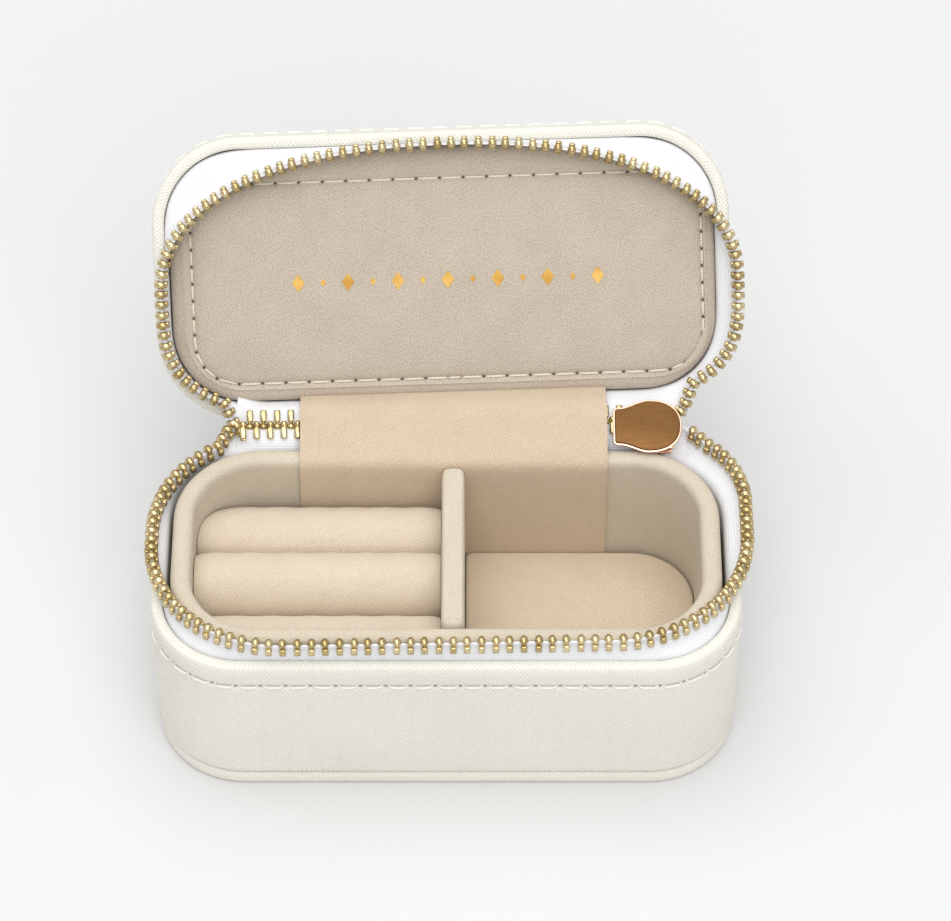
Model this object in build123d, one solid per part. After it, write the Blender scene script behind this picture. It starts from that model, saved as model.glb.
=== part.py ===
from build123d import *
import math
import os

os.makedirs("parts", exist_ok=True)

# Frame: X to the right, Y to the back, Z up, origin at the bottom centre of the base, millimetres.
# The lid and the zip are drawn shut and then turned open about the hinge.

# Outer leather shell
box_width = 107.0
box_depth = 52.8
corner_radius = 16.5
leather = 0.95
core_wall = 1.3
fit_gap = 0.05

# Base heights
plate_height = 3.1
base_rim = 34.4
seam_drop = 5.2

# Zip between the two rims
tooth_length = 3.6
tooth_width = 2.7
tooth_thickness = 1.15
tooth_pitch = 2.54
tape = 0.6
tape_slot = 0.7
chain_gap = 0.6
zip_start = 1.4
hinge_height = base_rim + zip_start + tooth_length + chain_gap / 2

# Lid heights, as they stand when it is shut
lid_rim = 2 * hinge_height - base_rim
lid_wall = 11.0
lid_top = lid_rim + lid_wall

# Hinge line and how far the lid opens
hinge_back = 27.4
open_angle = 129.5
hinge_lean_back = 0.0165
hinge_lean_up = 0.0078

# Where the teeth of the two open chains begin and end along the back
chain_end_left = -28.0
chain_end_right = 45.4

# Tray
tray_width = 100.0
tray_depth = 45.8
tray_shift = 0.4
tray_radius = 16.0
tray_wall = 3.7
tray_top = 37.6
tray_bottom = 8.4
tray_base = 1.2
floor_top = 13.2

# Strap
strap_left = -27.2
strap_right = 29.7
strap = 0.6

# Slider
slider_left = 31.4
slider_right = 43.6
plate = 0.8
slider_half = 4.85
slider_neck_half = 3.35
slider_inside = 1.7
pull_length = 21.0
pull_width = 6.0


def rounded(width, depth, radius, low, high, shift=0.0):
    """Prism with a rounded rectangle as its plan."""
    plan = Pos(0, shift) * RectangleRounded(width, depth, radius)
    return extrude(Pos(0, 0, low) * plan, high - low)


def inset_face(inset):
    """The shell's plan, moved inwards by inset."""
    return RectangleRounded(box_width - 2 * inset, box_depth - 2 * inset, corner_radius - inset)


def inset_prism(inset, low, high):
    """Prism with the shell's plan, moved inwards by inset."""
    return extrude(Pos(0, 0, low) * inset_face(inset), high - low)


def block(x0, x1, y0, y1, z0, z1):
    """Box between two corners."""
    return Pos((x0 + x1) / 2, (y0 + y1) / 2, (z0 + z1) / 2) * Box(x1 - x0, y1 - y0, z1 - z0)


def edges_at(solid, height):
    """Edges that lie flat at one height."""
    return [e for e in solid.edges() if abs(e.bounding_box().min.Z - height) < 1e-4
            and abs(e.bounding_box().max.Z - height) < 1e-4]


def walk(points, distance):
    """Point and heading at a distance along a polyline."""
    for a, b in zip(points, points[1:]):
        run = math.dist(a, b)
        if distance <= run:
            part = distance / run
            place = (a[0] + (b[0] - a[0]) * part, a[1] + (b[1] - a[1]) * part)
            return place, math.degrees(math.atan2(b[1] - a[1], b[0] - a[0]))
        distance -= run
    return points[-1], math.degrees(math.atan2(b[1] - a[1], b[0] - a[0]))


def length_of(points):
    return sum(math.dist(a, b) for a, b in zip(points, points[1:]))


def offset_path(points, side):
    """Polyline moved sideways, to the left of its heading when side is positive."""
    moved = []
    for n, (x, y) in enumerate(points):
        ax, ay = points[max(n - 1, 0)]
        bx, by = points[min(n + 1, len(points) - 1)]
        run = math.hypot(bx - ax, by - ay)
        moved.append((x - side * (by - ay) / run, y + side * (bx - ax) / run))
    return moved


def mitred(points, side):
    """Polyline moved sideways with its corners kept sharp."""
    moved = []
    for n, (x, y) in enumerate(points):
        headings = []
        for a, b in ((n - 1, n), (n, n + 1)):
            if a >= 0 and b < len(points):
                run = math.dist(points[a], points[b])
                headings.append(((points[b][0] - points[a][0]) / run,
                                 (points[b][1] - points[a][1]) / run))
        hx = sum(h[0] for h in headings) / len(headings)
        hy = sum(h[1] for h in headings) / len(headings)
        square = hx * hx + hy * hy
        moved.append((x - side * hy / square, y + side * hx / square))
    return moved


def ribbon(points, thickness, low, high):
    """Upright strip that follows a path in plan."""
    outline = offset_path(points, thickness / 2) + offset_path(points, -thickness / 2)[::-1]
    face = make_face(Polyline([Vector(x, y, low) for x, y in outline], close=True))
    return extrude(face, high - low, dir=(0, 0, 1))


# Chain loops in plan: each is a list of points from the back centre round by the left, the front
# and the right to the back centre again.

lower_half_width = 54.0
lower_half_depth = 25.6
lower_front_radius = 24.0
lower_back_radius = 20.0
upper_shift = 0.6
upper_half_width = 54.0
upper_front = 24.3
upper_back = 26.0
upper_front_power = 2.25
upper_back_power = 3.6
quarter_steps = 18


def lower_loop():
    """Rounded rectangle with wider corners at the front."""
    points = [(0.0, lower_half_depth)]
    corners = ((-1, 1, lower_back_radius, 90), (-1, -1, lower_front_radius, 180),
               (1, -1, lower_front_radius, 270), (1, 1, lower_back_radius, 0))
    for sx, sy, radius, start in corners:
        cx = sx * (lower_half_width - radius)
        cy = sy * (lower_half_depth - radius)
        for n in range(quarter_steps + 1):
            turn = math.radians(start + 90 * n / quarter_steps)
            points.append((cx + radius * math.cos(turn), cy + radius * math.sin(turn)))
    return points + [points[0]]


def upper_loop():
    """Oval |x/a|^p + |y/b|^p = 1, fuller along the hinge than along the front."""
    points = []
    steps = 4 * quarter_steps
    for n in range(steps + 1):
        turn = math.pi / 2 + 2 * math.pi * n / steps
        c = math.cos(turn)
        s = math.sin(turn)
        power = upper_back_power if s > 0 else upper_front_power
        reach = upper_back if s > 0 else upper_front
        x = math.copysign(abs(c) ** (2 / power), c) * upper_half_width
        y = math.copysign(abs(s) ** (2 / power), s) * reach
        points.append((x + upper_shift, y))
    return points


def fine(points, step):
    """The same path in equal short steps."""
    total = length_of(points)
    count = round(total / step)
    return [walk(points, total * n / count)[0] for n in range(count)] + [points[-1]]


def open_part(points):
    """The stretch of a loop that carries the open chain."""
    return [p for p in points if not (p[1] > 0 and chain_end_left < p[0] < chain_end_right)]


path_step = 1.5
lower_chain = fine(lower_loop(), path_step)
upper_chain = fine(upper_loop(), path_step)

hinge = Axis((0, hinge_back, hinge_height), (1, hinge_lean_back, hinge_lean_up))


def opened(shape, share=1.0):
    """A piece drawn shut, turned to where it stands with the lid open."""
    return shape.rotate(hinge, -open_angle * share)


def flipped(shape):
    """Mirror image across the plane between the two chains."""
    return shape.mirror(Plane((0, 0, hinge_height), x_dir=(1, 0, 0), z_dir=(0, 0, 1)))


def save(name, shape):
    """Write one node; a list becomes a group of separate solids."""
    if isinstance(shape, (list, tuple)):
        shape = Compound(children=[s for item in shape for s in item.solids()])
    export_step(shape, f"parts/{name}.step")


# Base

def make_base_bottom():
    """Stiff board and the leather that wraps its edge."""
    cover = inset_prism(0.3, 0, plate_height)
    cover = fillet(edges_at(cover, 0) + edges_at(cover, plate_height), 1.1)
    board_inset = 0.3 + leather
    cover -= inset_prism(board_inset, leather, plate_height + 1)
    board = inset_prism(board_inset + fit_gap, leather, plate_height - fit_gap)
    return cover, board


def make_wall(low, high, rim):
    """Leather wall with a rolled edge at its rim, and the stiff ring inside it."""
    top = max(low, high)
    bottom = min(low, high)
    return_depth = leather + core_wall
    cover = inset_prism(0, bottom, top)
    cover = fillet(edges_at(cover, rim), 1.0)
    inward = -1 if rim == top else 1
    inner_low = bottom if rim == top else bottom + leather
    inner_high = top - leather if rim == top else top
    cover -= inset_prism(leather, inner_low - (rim == top), inner_high + (rim != top))
    cover -= inset_prism(return_depth, bottom - 1, top + 1)
    core = inset_prism(leather + fit_gap, inner_low, inner_high)
    core -= inset_prism(return_depth, bottom - 1, top + 1)
    return cover, core


def make_seam(height):
    """Stitches in a row round the wall, left out under the rear hinge band."""
    stitch_pitch = 4.45
    stitch_length, stitch_depth, stitch_height = 3.1, 0.32, 0.55
    outline = inset_face(0).wire()
    around = [outline @ (n / 240) for n in range(241)]
    path = [(p.X, p.Y) for p in around]
    total = length_of(path)
    count = round(total / stitch_pitch)
    stitches = []
    for n in range(count):
        (x, y), heading = walk(path, total * (n + 0.5) / count)
        if y > 0 and band_left - 2.2 < x < band_right + 2.2:
            continue
        outward = math.radians(heading - 90)
        nx = math.cos(outward)
        ny = math.sin(outward)
        if nx * x + ny * y < 0:
            nx, ny = -nx, -ny
        lift = stitch_depth / 2 + 0.12
        at = Pos(x + nx * lift, y + ny * lift, height) * Rot(0, 0, heading)
        stitches.append(at * Box(stitch_length, stitch_depth, stitch_height))
    return stitches


def loop_face(loop, side):
    """Plane face inside a closed loop that is moved sideways."""
    around = [loop[-2]] + loop + [loop[1]]
    return make_face(Polyline([Vector(x, y) for x, y in offset_path(around, side)[1:-2]], close=True))


def make_tape(loop):
    """Zip tape: a strip behind the leather rim, a step over the rim and an upright edge."""
    outer_inset = leather + core_wall + 0.15
    inner_inset = outer_inset + tape
    anchor_low = base_rim - 6.5
    step_low = base_rim + 0.3
    step_high = base_rim + 0.8
    anchor = inset_prism(outer_inset, anchor_low, step_high) - inset_prism(inner_inset, 0, 60)
    outside = loop_face(loop, -tape / 2) + inset_face(outer_inset)
    inside = loop_face(loop, tape / 2) & inset_face(inner_inset)
    step = extrude(Pos(0, 0, step_low) * (outside - inside), step_high - step_low)
    edge = ribbon(open_part(loop), tape, step_low, base_rim + zip_start + tooth_length - 1.5)
    gap = block(chain_end_left, chain_end_right, 15, 40, base_rim, step_high + 1)
    return (anchor + step) - gap + edge


def tooth_profile():
    """Side view of a tooth: two legs that grip the tape, a neck and a head, from 0 up to its length."""
    half = tooth_width / 2
    neck = 0.85
    slot = tape_slot / 2
    leg = tooth_length - 1.45
    return [(-half, 0.25), (-half + 0.3, 0), (-slot, 0), (-slot, leg), (slot, leg), (slot, 0),
            (half - 0.3, 0), (half, 0.25), (half, leg - 0.35), (neck, leg + 0.15), (neck, leg + 0.45),
            (half - 0.3, leg + 0.75), (half - 0.3, tooth_length - 0.25), (neck - 0.1, tooth_length),
            (-neck + 0.1, tooth_length), (-half + 0.3, tooth_length - 0.25), (-half + 0.3, leg + 0.75),
            (-neck, leg + 0.45), (-neck, leg + 0.15), (-half, leg - 0.35)]


def make_tooth():
    """One tooth that stands on the plane Z = 0 with its thickness along X."""
    face = make_face(Polyline([Vector(-tooth_thickness / 2, y, z) for y, z in tooth_profile()], close=True))
    return extrude(face, tooth_thickness, dir=(1, 0, 0))


def make_chain(loop):
    """Teeth at equal steps along the open stretch of a loop."""
    tooth = make_tooth()
    path = open_part(loop)
    total = length_of(path)
    teeth = []
    distance = 0.9
    while distance < total - 0.7:
        (x, y), heading = walk(path, distance)
        teeth.append(Pos(x, y, base_rim + zip_start) * Rot(0, 0, heading) * tooth)
        distance += tooth_pitch
    return teeth


# Tray

tray_front = tray_shift - tray_depth / 2
tray_back = tray_shift + tray_depth / 2
room_front = tray_front + tray_wall
room_back = tray_back - tray_wall
room_half_width = tray_width / 2 - tray_wall
room_low = tray_bottom + tray_base + fit_gap
strap_room = strap + 0.3


def tray_prism(inset, low, high):
    """Prism with the tray's plan, moved inwards by inset."""
    return rounded(tray_width - 2 * inset, tray_depth - 2 * inset, tray_radius - inset, low, high, tray_shift)


def make_tray():
    """Open tray with thick rounded walls."""
    shell = tray_prism(0, tray_bottom, tray_top) - tray_prism(tray_wall, tray_bottom + tray_base, tray_top + 1)
    return fillet(edges_at(shell, tray_top), tray_wall / 2 - 0.05)


divider_middle = 1.2
divider_thickness = 4.2
divider_top = tray_top
divider_back = room_back - strap_room - 0.1


def make_divider():
    """Board with a rounded velvet sleeve over its top."""
    half = divider_thickness / 2
    board_half = 0.9
    play = 0.02
    front = room_front + 0.1
    sleeve = block(divider_middle - half, divider_middle + half, front, divider_back, room_low, divider_top)
    sleeve = fillet([e for e in edges_at(sleeve, divider_top) if e.length > 10], half - 0.1)
    board = block(divider_middle - board_half, divider_middle + board_half, front + 0.7,
                  divider_back - 0.7, room_low, divider_top - 1.6)
    hole = block(divider_middle - board_half - play, divider_middle + board_half + play, front + 0.7 - play,
                 divider_back - 0.7 + play, room_low - 1, divider_top - 1.6 + play)
    return sleeve - hole, board


def make_floor():
    """Velvet pad over a board on the tray's floor, right of the divider."""
    left = divider_middle + divider_thickness / 2 + 0.15
    board_top = room_low + 1.5
    back = room_back - strap_room
    board = block(left, 60, -40, back, room_low, board_top) & tray_prism(tray_wall + 0.4, 0, 60)
    pad = block(left, 60, -40, back, board_top + fit_gap, floor_top) & tray_prism(tray_wall + 0.15, 0, 60)
    return board, pad


roll_names = ("back", "middle", "front")
roll_centres = (12.4, -0.4, -12.6)
roll_radii = (6.1, 6.3, 5.8)
roll_crowns = (29.9, 32.0, 29.0)


def make_roll(centre, radius, crown):
    """Foam bar with a half-round top and its velvet sleeve, along X."""
    right = divider_middle - divider_thickness / 2 - 0.15
    velvet = 0.7
    axis_height = crown - radius

    def bar(inset, low):
        r = radius - inset
        end = right - inset
        body = block(-60, end, centre - r, centre + r, low, axis_height)
        top = Pos(0, centre, axis_height) * Rot(0, 90, 0) * Cylinder(r, 140)
        top &= block(-60, end, centre - r, centre + r, axis_height - 1, crown + 1)
        return (body + top) & tray_prism(tray_wall + 0.15 + inset, 0, 60)

    foam = bar(velvet + 0.02, room_low)
    sleeve = bar(0, room_low) - bar(velvet, room_low - 1)
    return sleeve, foam


# Straps at the hinge. The hinge line leans a little, so each strap's two ends are bent differently
# and the strap runs straight from one end to the other.

tail_out = 1.0


def turned(x, y, z, share=1.0):
    """Y and Z of a point of the closed box at x, turned open about the hinge line."""
    axis = hinge.direction
    arm = Vector(x, y, z) - hinge.position
    turn = math.radians(-open_angle * share)
    swung = (arm * math.cos(turn) + axis.cross(arm) * math.sin(turn)
             + axis * (axis.dot(arm) * (1 - math.cos(turn))))
    place = hinge.position + swung
    return place.Y, place.Z


def bent_strip(path_at, thickness, x0, x1):
    """Strip of one thickness between the paths that it follows at its two ends."""
    faces = []
    for x in (x0, x1):
        path = path_at(x)
        outline = mitred(path, thickness / 2) + mitred(path, -thickness / 2)[::-1]
        faces.append(make_face(Polyline([Vector(x, y, z) for y, z in outline], close=True)))
    return loft(faces, ruled=True)


def strap_path(x):
    """From the tray's floor over its back rim and the zip, then round the lid panel's lower edge."""
    wall = room_back - 0.15 - strap / 2
    rim_middle = tray_back - tray_wall / 2
    rim_height = tray_top - tray_wall / 2
    bend = tray_wall / 2 + 0.2 + strap / 2
    path = [(wall, floor_top - 2.0), (wall, rim_height)]
    for angle in (152, 128):
        turn = math.radians(angle)
        path.append((rim_middle + bend * math.cos(turn), rim_height + bend * math.sin(turn)))
    over_chain = hinge_back + tail_out - tooth_width / 2 - 0.35 - strap / 2
    for rise in (-3.2, 3.2):
        path.append(turned(x, over_chain, hinge_height + rise, 0.5))
    edge = panel_back + 0.25 + strap / 2
    behind = panel_inner + 0.3 + strap / 2
    path.append(turned(x, edge, panel_face + 0.2))
    path.append(turned(x, edge, behind))
    path.append(turned(x, edge - 9, behind))
    return path


def band_path(x):
    """Up the base's back wall, round in a bend under the zip and along the lid's back wall."""
    outside = box_depth / 2 + 0.5 + band / 2
    reach = 7.5
    start = (outside, hinge_height - reach)
    end = turned(x, outside, hinge_height + reach)
    pull_y = outside + 0.1
    pull_z = hinge_height - 1.7
    path = [(outside, start[1] - 6)]
    steps = 8
    for n in range(steps + 1):
        t = n / steps
        path.append(((1 - t) ** 2 * start[0] + 2 * t * (1 - t) * pull_y + t * t * end[0],
                     (1 - t) ** 2 * start[1] + 2 * t * (1 - t) * pull_z + t * t * end[1]))
    path.append(turned(x, outside, lid_top - 1.5))
    return path


band = 0.8
band_left = strap_left - 1.0
band_right = 15.0


# Lid, drawn shut

panel_face = lid_rim + 0.35
panel_inner = panel_face + 3.4
panel_width = 99.6
panel_front = -22.6
panel_back = 22.1
panel_shift = 0.5
panel_radius = 12.0


def make_lid_top():
    """Leather cap, foam and board that close the lid."""
    low = lid_top - plate_height
    cover = inset_prism(0.3, low, lid_top)
    cover = fillet(edges_at(cover, lid_top) + edges_at(cover, low), 1.1)
    inset = 0.3 + leather
    cover -= inset_prism(inset, low - 1, lid_top - leather)
    board = inset_prism(inset + fit_gap, low, low + 1.2)
    foam = inset_prism(inset + fit_gap, low + 1.2 + fit_gap, lid_top - leather - fit_gap)
    return cover, board, foam


def panel_prism(inset, low, high):
    middle = (panel_front + panel_back) / 2
    prism = rounded(panel_width - 2 * inset, panel_back - panel_front - 2 * inset, panel_radius - inset,
                    low, high, middle)
    return Pos(panel_shift, 0, 0) * prism


def make_panel():
    """Padded velvet panel: board, foam and the cover that wraps round both."""
    velvet = 0.6
    cover = panel_prism(0, panel_face, panel_inner)
    cover = fillet(edges_at(cover, panel_face), 1.2)
    cover -= panel_prism(velvet, panel_face + velvet, panel_inner + 1)
    foam = panel_prism(velvet + fit_gap, panel_face + velvet + fit_gap, panel_inner - 1.3)
    foam = fillet(edges_at(foam, panel_face + velvet + fit_gap), 0.5)
    board = panel_prism(velvet + fit_gap, panel_inner - 1.25, panel_inner)
    return cover, foam, board


seam_width = 96.2
seam_front = -18.0
seam_back = 19.5
seam_shift = 0.8
seam_radius = 8.0


def make_panel_seam():
    """Stitches round the panel, longer along its length than at its ends, just off its face."""
    thread = 0.16
    height = panel_face - 0.04 - thread / 2
    plan = Pos(seam_shift, (seam_front + seam_back) / 2) * RectangleRounded(
        seam_width, seam_back - seam_front, seam_radius)
    outline = plan.wire()
    around = [outline @ (n / 240) for n in range(241)]
    path = [(p.X, p.Y) for p in around]
    total = length_of(path)
    stitches = []
    distance = 1.6
    while distance < total - 1.6:
        (x, y), heading = walk(path, distance)
        along = abs(math.cos(math.radians(heading))) > 0.95
        pitch = 4.2 if along else 3.1
        stitches.append(Pos(x, y, height) * Rot(0, 0, heading) * Box(pitch - 1.1, 0.5, thread))
        distance += pitch
    return stitches


def make_foil_row():
    """Row of foil lozenges across the middle of the panel, large and small in turn."""
    count = 13
    row = 56.0
    foil = 0.06
    marks = []
    for n in range(count):
        x = -row / 2 + row * n / (count - 1)
        half_height = 1.75 if n % 2 == 0 else 0.8
        half_width = 1.25 if n % 2 == 0 else 0.6
        corners = [Vector(x - half_width, 0), Vector(x, -half_height), Vector(x + half_width, 0),
                   Vector(x, half_height)]
        face = make_face(Polyline(corners, close=True))
        at = Pos(1.0, -0.2, panel_face - 0.02 - foil) * Rot(0, 0, -1.5)
        marks.append(at * extrude(face, foil, dir=(0, 0, 1)))
    return marks


# Zip slider and the closed end of the chain, drawn shut; the chain runs along X at the hinge line

chain_back = hinge_back + tail_out
closed_start = 18.0
closed_end = 34.0
tail_lift = 0.75


def make_closed_chain():
    """Meshed teeth left of the slider, on both tapes."""
    tooth = Pos(0, 0, -tooth_length + tail_lift - chain_gap / 2) * make_tooth()
    upper = Pos(tooth_pitch / 2, 0, 0) * tooth.mirror(Plane.XY)
    teeth = []
    count = int((closed_end - closed_start - 3.0) / tooth_pitch)
    for n in range(count + 1):
        at = Pos(closed_start + 2.6 + n * tooth_pitch, chain_back, hinge_height)
        teeth.append(at * tooth)
        if n < count:
            teeth.append(at * upper)
    return teeth


def make_tail_tapes():
    """Short ends of the two tapes that the closed teeth grip."""
    inner = 2.05 - tail_lift + chain_gap / 2
    strips = []
    for side in (-1, 1):
        z0 = hinge_height + side * inner
        z1 = hinge_height + side * 3.4
        strips.append(block(closed_start - 6, closed_end, chain_back - tape / 2, chain_back + tape / 2,
                            min(z0, z1), max(z0, z1)))
    return strips


def make_bottom_stop():
    """Metal clip over both chains at their end."""
    clip = block(closed_start - 1.6, closed_start + 1.2, chain_back - 1.5, chain_back + 1.5,
                 hinge_height - 2.8, hinge_height + 2.8)
    for side in (-1, 1):
        z0 = hinge_height + side * 1.2
        z1 = hinge_height + side * 4
        clip -= block(closed_start - 3, closed_start + 3, chain_back - tape_slot / 2,
                      chain_back + tape_slot / 2, min(z0, z1), max(z0, z1))
    return clip


def slider_outline(y):
    """Bottle shape: a narrow tail, shoulders and a round mouth end."""
    mid = slider_right - slider_half
    neck = slider_left + 3.4
    line = Polyline((slider_left, slider_neck_half - 0.6), (slider_left, -slider_neck_half + 0.6))
    parts = [
        line,
        RadiusArc((slider_left, -slider_neck_half + 0.6), (slider_left + 0.6, -slider_neck_half), -0.6),
        Line((slider_left + 0.6, -slider_neck_half), (neck, -slider_neck_half)),
        Spline((neck, -slider_neck_half), (mid - 0.6, -slider_half), tangents=((1, 0), (1, 0))),
        ThreePointArc((mid - 0.6, -slider_half), (slider_right, 0), (mid - 0.6, slider_half)),
        Spline((mid - 0.6, slider_half), (neck, slider_neck_half), tangents=((-1, 0), (-1, 0))),
        Line((neck, slider_neck_half), (slider_left + 0.6, slider_neck_half)),
        RadiusArc((slider_left + 0.6, slider_neck_half), (slider_left, slider_neck_half - 0.6), -0.6),
    ]
    face = make_face(Curve() + parts)
    plane = Plane((0, y, hinge_height), x_dir=(1, 0, 0), z_dir=(0, -1, 0))
    return plane * face


def make_slider():
    """Two plates, four flanges that keep the tapes' slots, and the wedge between the chains."""
    inside = slider_inside
    outer = inside + plate
    body = extrude(slider_outline(chain_back - inside), plate, dir=(0, -1, 0))
    body += extrude(slider_outline(chain_back + inside), plate, dir=(0, 1, 0))
    flange = 0.75
    slot = 0.55
    for side in (-1, 1):
        z0 = hinge_height + side * (slider_half - 0.15 - flange)
        z1 = hinge_height + side * (slider_half - 0.15)
        for y0, y1 in ((-inside - 0.2, -slot), (slot, inside + 0.2)):
            body += block(37.4, 40.4, chain_back + y0, chain_back + y1, min(z0, z1), max(z0, z1))
    wedge = make_face(Polyline([Vector(41.2 - 1.9, 0), Vector(41.2, 0.85), Vector(41.2 + 1.2, 0),
                                Vector(41.2, -0.85)], close=True))
    plane = Plane((0, chain_back + inside + 0.1, hinge_height), x_dir=(1, 0, 0), z_dir=(0, -1, 0))
    body += extrude(plane * wedge, 2 * inside + 0.2, dir=(0, -1, 0))
    return body


bail_middle = 37.2
bail_top = slider_inside + plate + 2.6
pivot_out = chain_back + bail_top - 1.35


def make_bail():
    """Arch on the outer plate that holds the pull."""
    low = chain_back + slider_inside + plate
    high = chain_back + bail_top
    arch = block(bail_middle - 3.0, bail_middle + 3.0, low, high, hinge_height - 0.8, hinge_height + 0.8)
    arch -= block(bail_middle - 2.2, bail_middle + 2.2, low - 1, high - 0.7, hinge_height - 2, hinge_height + 2)
    top = [e for e in arch.edges() if abs(e.center().Y - high) < 1e-4 and abs(e.length - 1.6) < 1e-4]
    return fillet(top, 0.6)


def make_pull():
    """Pivot bar under the bail, a wire frame round it and a slim tab."""
    bar = 0.45
    frame_half = 1.75
    pull_start = pivot_out + 6.0
    link = Pos(bail_middle, pivot_out, hinge_height) * Cylinder(bar, 2 * frame_half)
    for side in (-1, 1):
        link += block(bail_middle - bar, bail_middle + bar, pivot_out, pull_start + 0.8,
                      hinge_height + side * frame_half - 0.4, hinge_height + side * frame_half + 0.4)
    link += block(bail_middle - bar, bail_middle + bar, pull_start, pull_start + 0.8,
                  hinge_height - frame_half - 0.4, hinge_height + frame_half + 0.4)
    length = pull_length - 6.0
    tab = Pos(bail_middle, pull_start + 0.9 + length / 2, hinge_height) * Rot(0, 90, 0) * extrude(
        RectangleRounded(pull_width, length, 2.4), 0.6, both=True)
    return link, tab


def build():
    cover, board = make_base_bottom()
    save("base_bottom_cover", cover)
    save("base_bottom_board", board)
    cover, core = make_wall(plate_height, base_rim, base_rim)
    save("base_wall_cover", cover)
    save("base_wall_core", core)
    save("base_seam_thread", make_seam(base_rim - seam_drop))
    save("lower_zip_tape", make_tape(lower_chain))
    save("lower_zip_teeth", make_chain(lower_chain))

    save("tray_support_foam", inset_prism(3.2, plate_height, tray_bottom - fit_gap))
    save("tray_shell", make_tray())
    sleeve, board = make_divider()
    save("divider_cover", sleeve)
    save("divider_board", board)
    board, pad = make_floor()
    save("tray_floor_board", board)
    save("tray_floor_pad", pad)
    for name, centre, radius, crown in zip(roll_names, roll_centres, roll_radii, roll_crowns):
        sleeve, foam = make_roll(centre, radius, crown)
        save(f"ring_roll_{name}_cover", sleeve)
        save(f"ring_roll_{name}_foam", foam)

    save("inner_hinge_strap", bent_strip(strap_path, strap, strap_left, strap_right))
    save("rear_hinge_band", bent_strip(band_path, band, band_left, band_right))

    cover, core = make_wall(lid_top - plate_height, lid_rim, lid_rim)
    save("lid_wall_cover", opened(cover))
    save("lid_wall_core", opened(core))
    cover, board, foam = make_lid_top()
    save("lid_top_cover", opened(cover))
    save("lid_top_board", opened(board))
    save("lid_top_foam", opened(foam))
    save("lid_seam_thread", [opened(s) for s in make_seam(lid_rim + seam_drop)])
    cover, foam, board = make_panel()
    save("lid_panel_cover", opened(cover))
    save("lid_panel_foam", opened(foam))
    save("lid_panel_board", opened(board))
    save("lid_panel_seam_thread", [opened(s) for s in make_panel_seam()])
    save("lid_panel_foil_row", [opened(s) for s in make_foil_row()])
    save("upper_zip_tape", opened(flipped(make_tape(upper_chain))))
    save("upper_zip_teeth", [opened(flipped(t)) for t in make_chain(upper_chain)])

    half = 0.5
    save("closed_chain_teeth", [opened(t, half) for t in make_closed_chain()])
    save("zip_tail_tapes", [opened(s, half) for s in make_tail_tapes()])
    save("zip_bottom_stop", opened(make_bottom_stop(), half))
    save("slider_body", opened(make_slider(), half))
    save("slider_bail", opened(make_bail(), half))
    link, tab = make_pull()
    save("pull_link", opened(link, half))
    save("pull_tab", opened(tab, half))


build()
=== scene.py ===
import math

import bpy
import numpy as np
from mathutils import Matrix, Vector


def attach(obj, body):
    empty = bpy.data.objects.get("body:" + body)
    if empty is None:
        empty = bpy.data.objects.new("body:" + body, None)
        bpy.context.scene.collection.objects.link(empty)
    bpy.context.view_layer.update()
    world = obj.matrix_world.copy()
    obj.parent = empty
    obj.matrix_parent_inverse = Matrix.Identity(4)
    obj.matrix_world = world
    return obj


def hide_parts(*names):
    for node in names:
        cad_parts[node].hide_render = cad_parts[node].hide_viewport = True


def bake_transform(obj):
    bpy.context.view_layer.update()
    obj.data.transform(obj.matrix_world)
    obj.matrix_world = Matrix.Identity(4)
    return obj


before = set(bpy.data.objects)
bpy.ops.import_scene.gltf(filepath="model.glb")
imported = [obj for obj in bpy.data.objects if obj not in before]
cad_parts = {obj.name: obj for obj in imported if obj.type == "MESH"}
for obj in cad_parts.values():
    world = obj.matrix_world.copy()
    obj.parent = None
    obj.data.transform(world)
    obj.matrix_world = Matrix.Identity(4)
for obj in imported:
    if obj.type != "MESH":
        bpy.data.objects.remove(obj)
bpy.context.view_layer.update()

print("frame loaded")

# Lengths are millimetres until a mesh is made. Lid pieces are worked out shut and then swung open.
shell = {"halfWidth": 53.5, "halfDepth": 26.4, "corner": 16.5, "plate": 3.1, "rim": 34.4,
         "lidRim": 45.0, "lidTop": 56.0, "leather": 0.95, "core": 1.3, "seamDrop": 5.2}
hinge = {"point": (0.0, 27.4, 39.7), "line": (1.0, 0.0165, 0.0078), "open": 129.5, "tail": 28.4}
chain = {"pitch": 2.54, "start": 36.05, "length": 3.6, "height": 39.7}


def swing(points, share=1.0):
    # p = h + a cos t + (k x a) sin t + k (k . a)(1 - cos t), with a = p - h and t = -open share
    k = unit(np.array(hinge["line"]))
    arm = np.asarray(points, float) - np.array(hinge["point"])
    t = -math.radians(hinge["open"]) * share
    along = (arm @ k)[..., None] * k
    return np.array(hinge["point"]) + arm * math.cos(t) + np.cross(k, arm) * math.sin(t) + along * (1 - math.cos(t))


def lengths(line):
    return np.concatenate([[0.0], np.cumsum(np.linalg.norm(np.diff(line, axis=0), axis=1))])


def along(line, places):
    # the points at the given distances along a polyline
    s = lengths(line)
    return np.stack([np.interp(places, s, line[:, n]) for n in range(line.shape[1])], -1)


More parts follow.
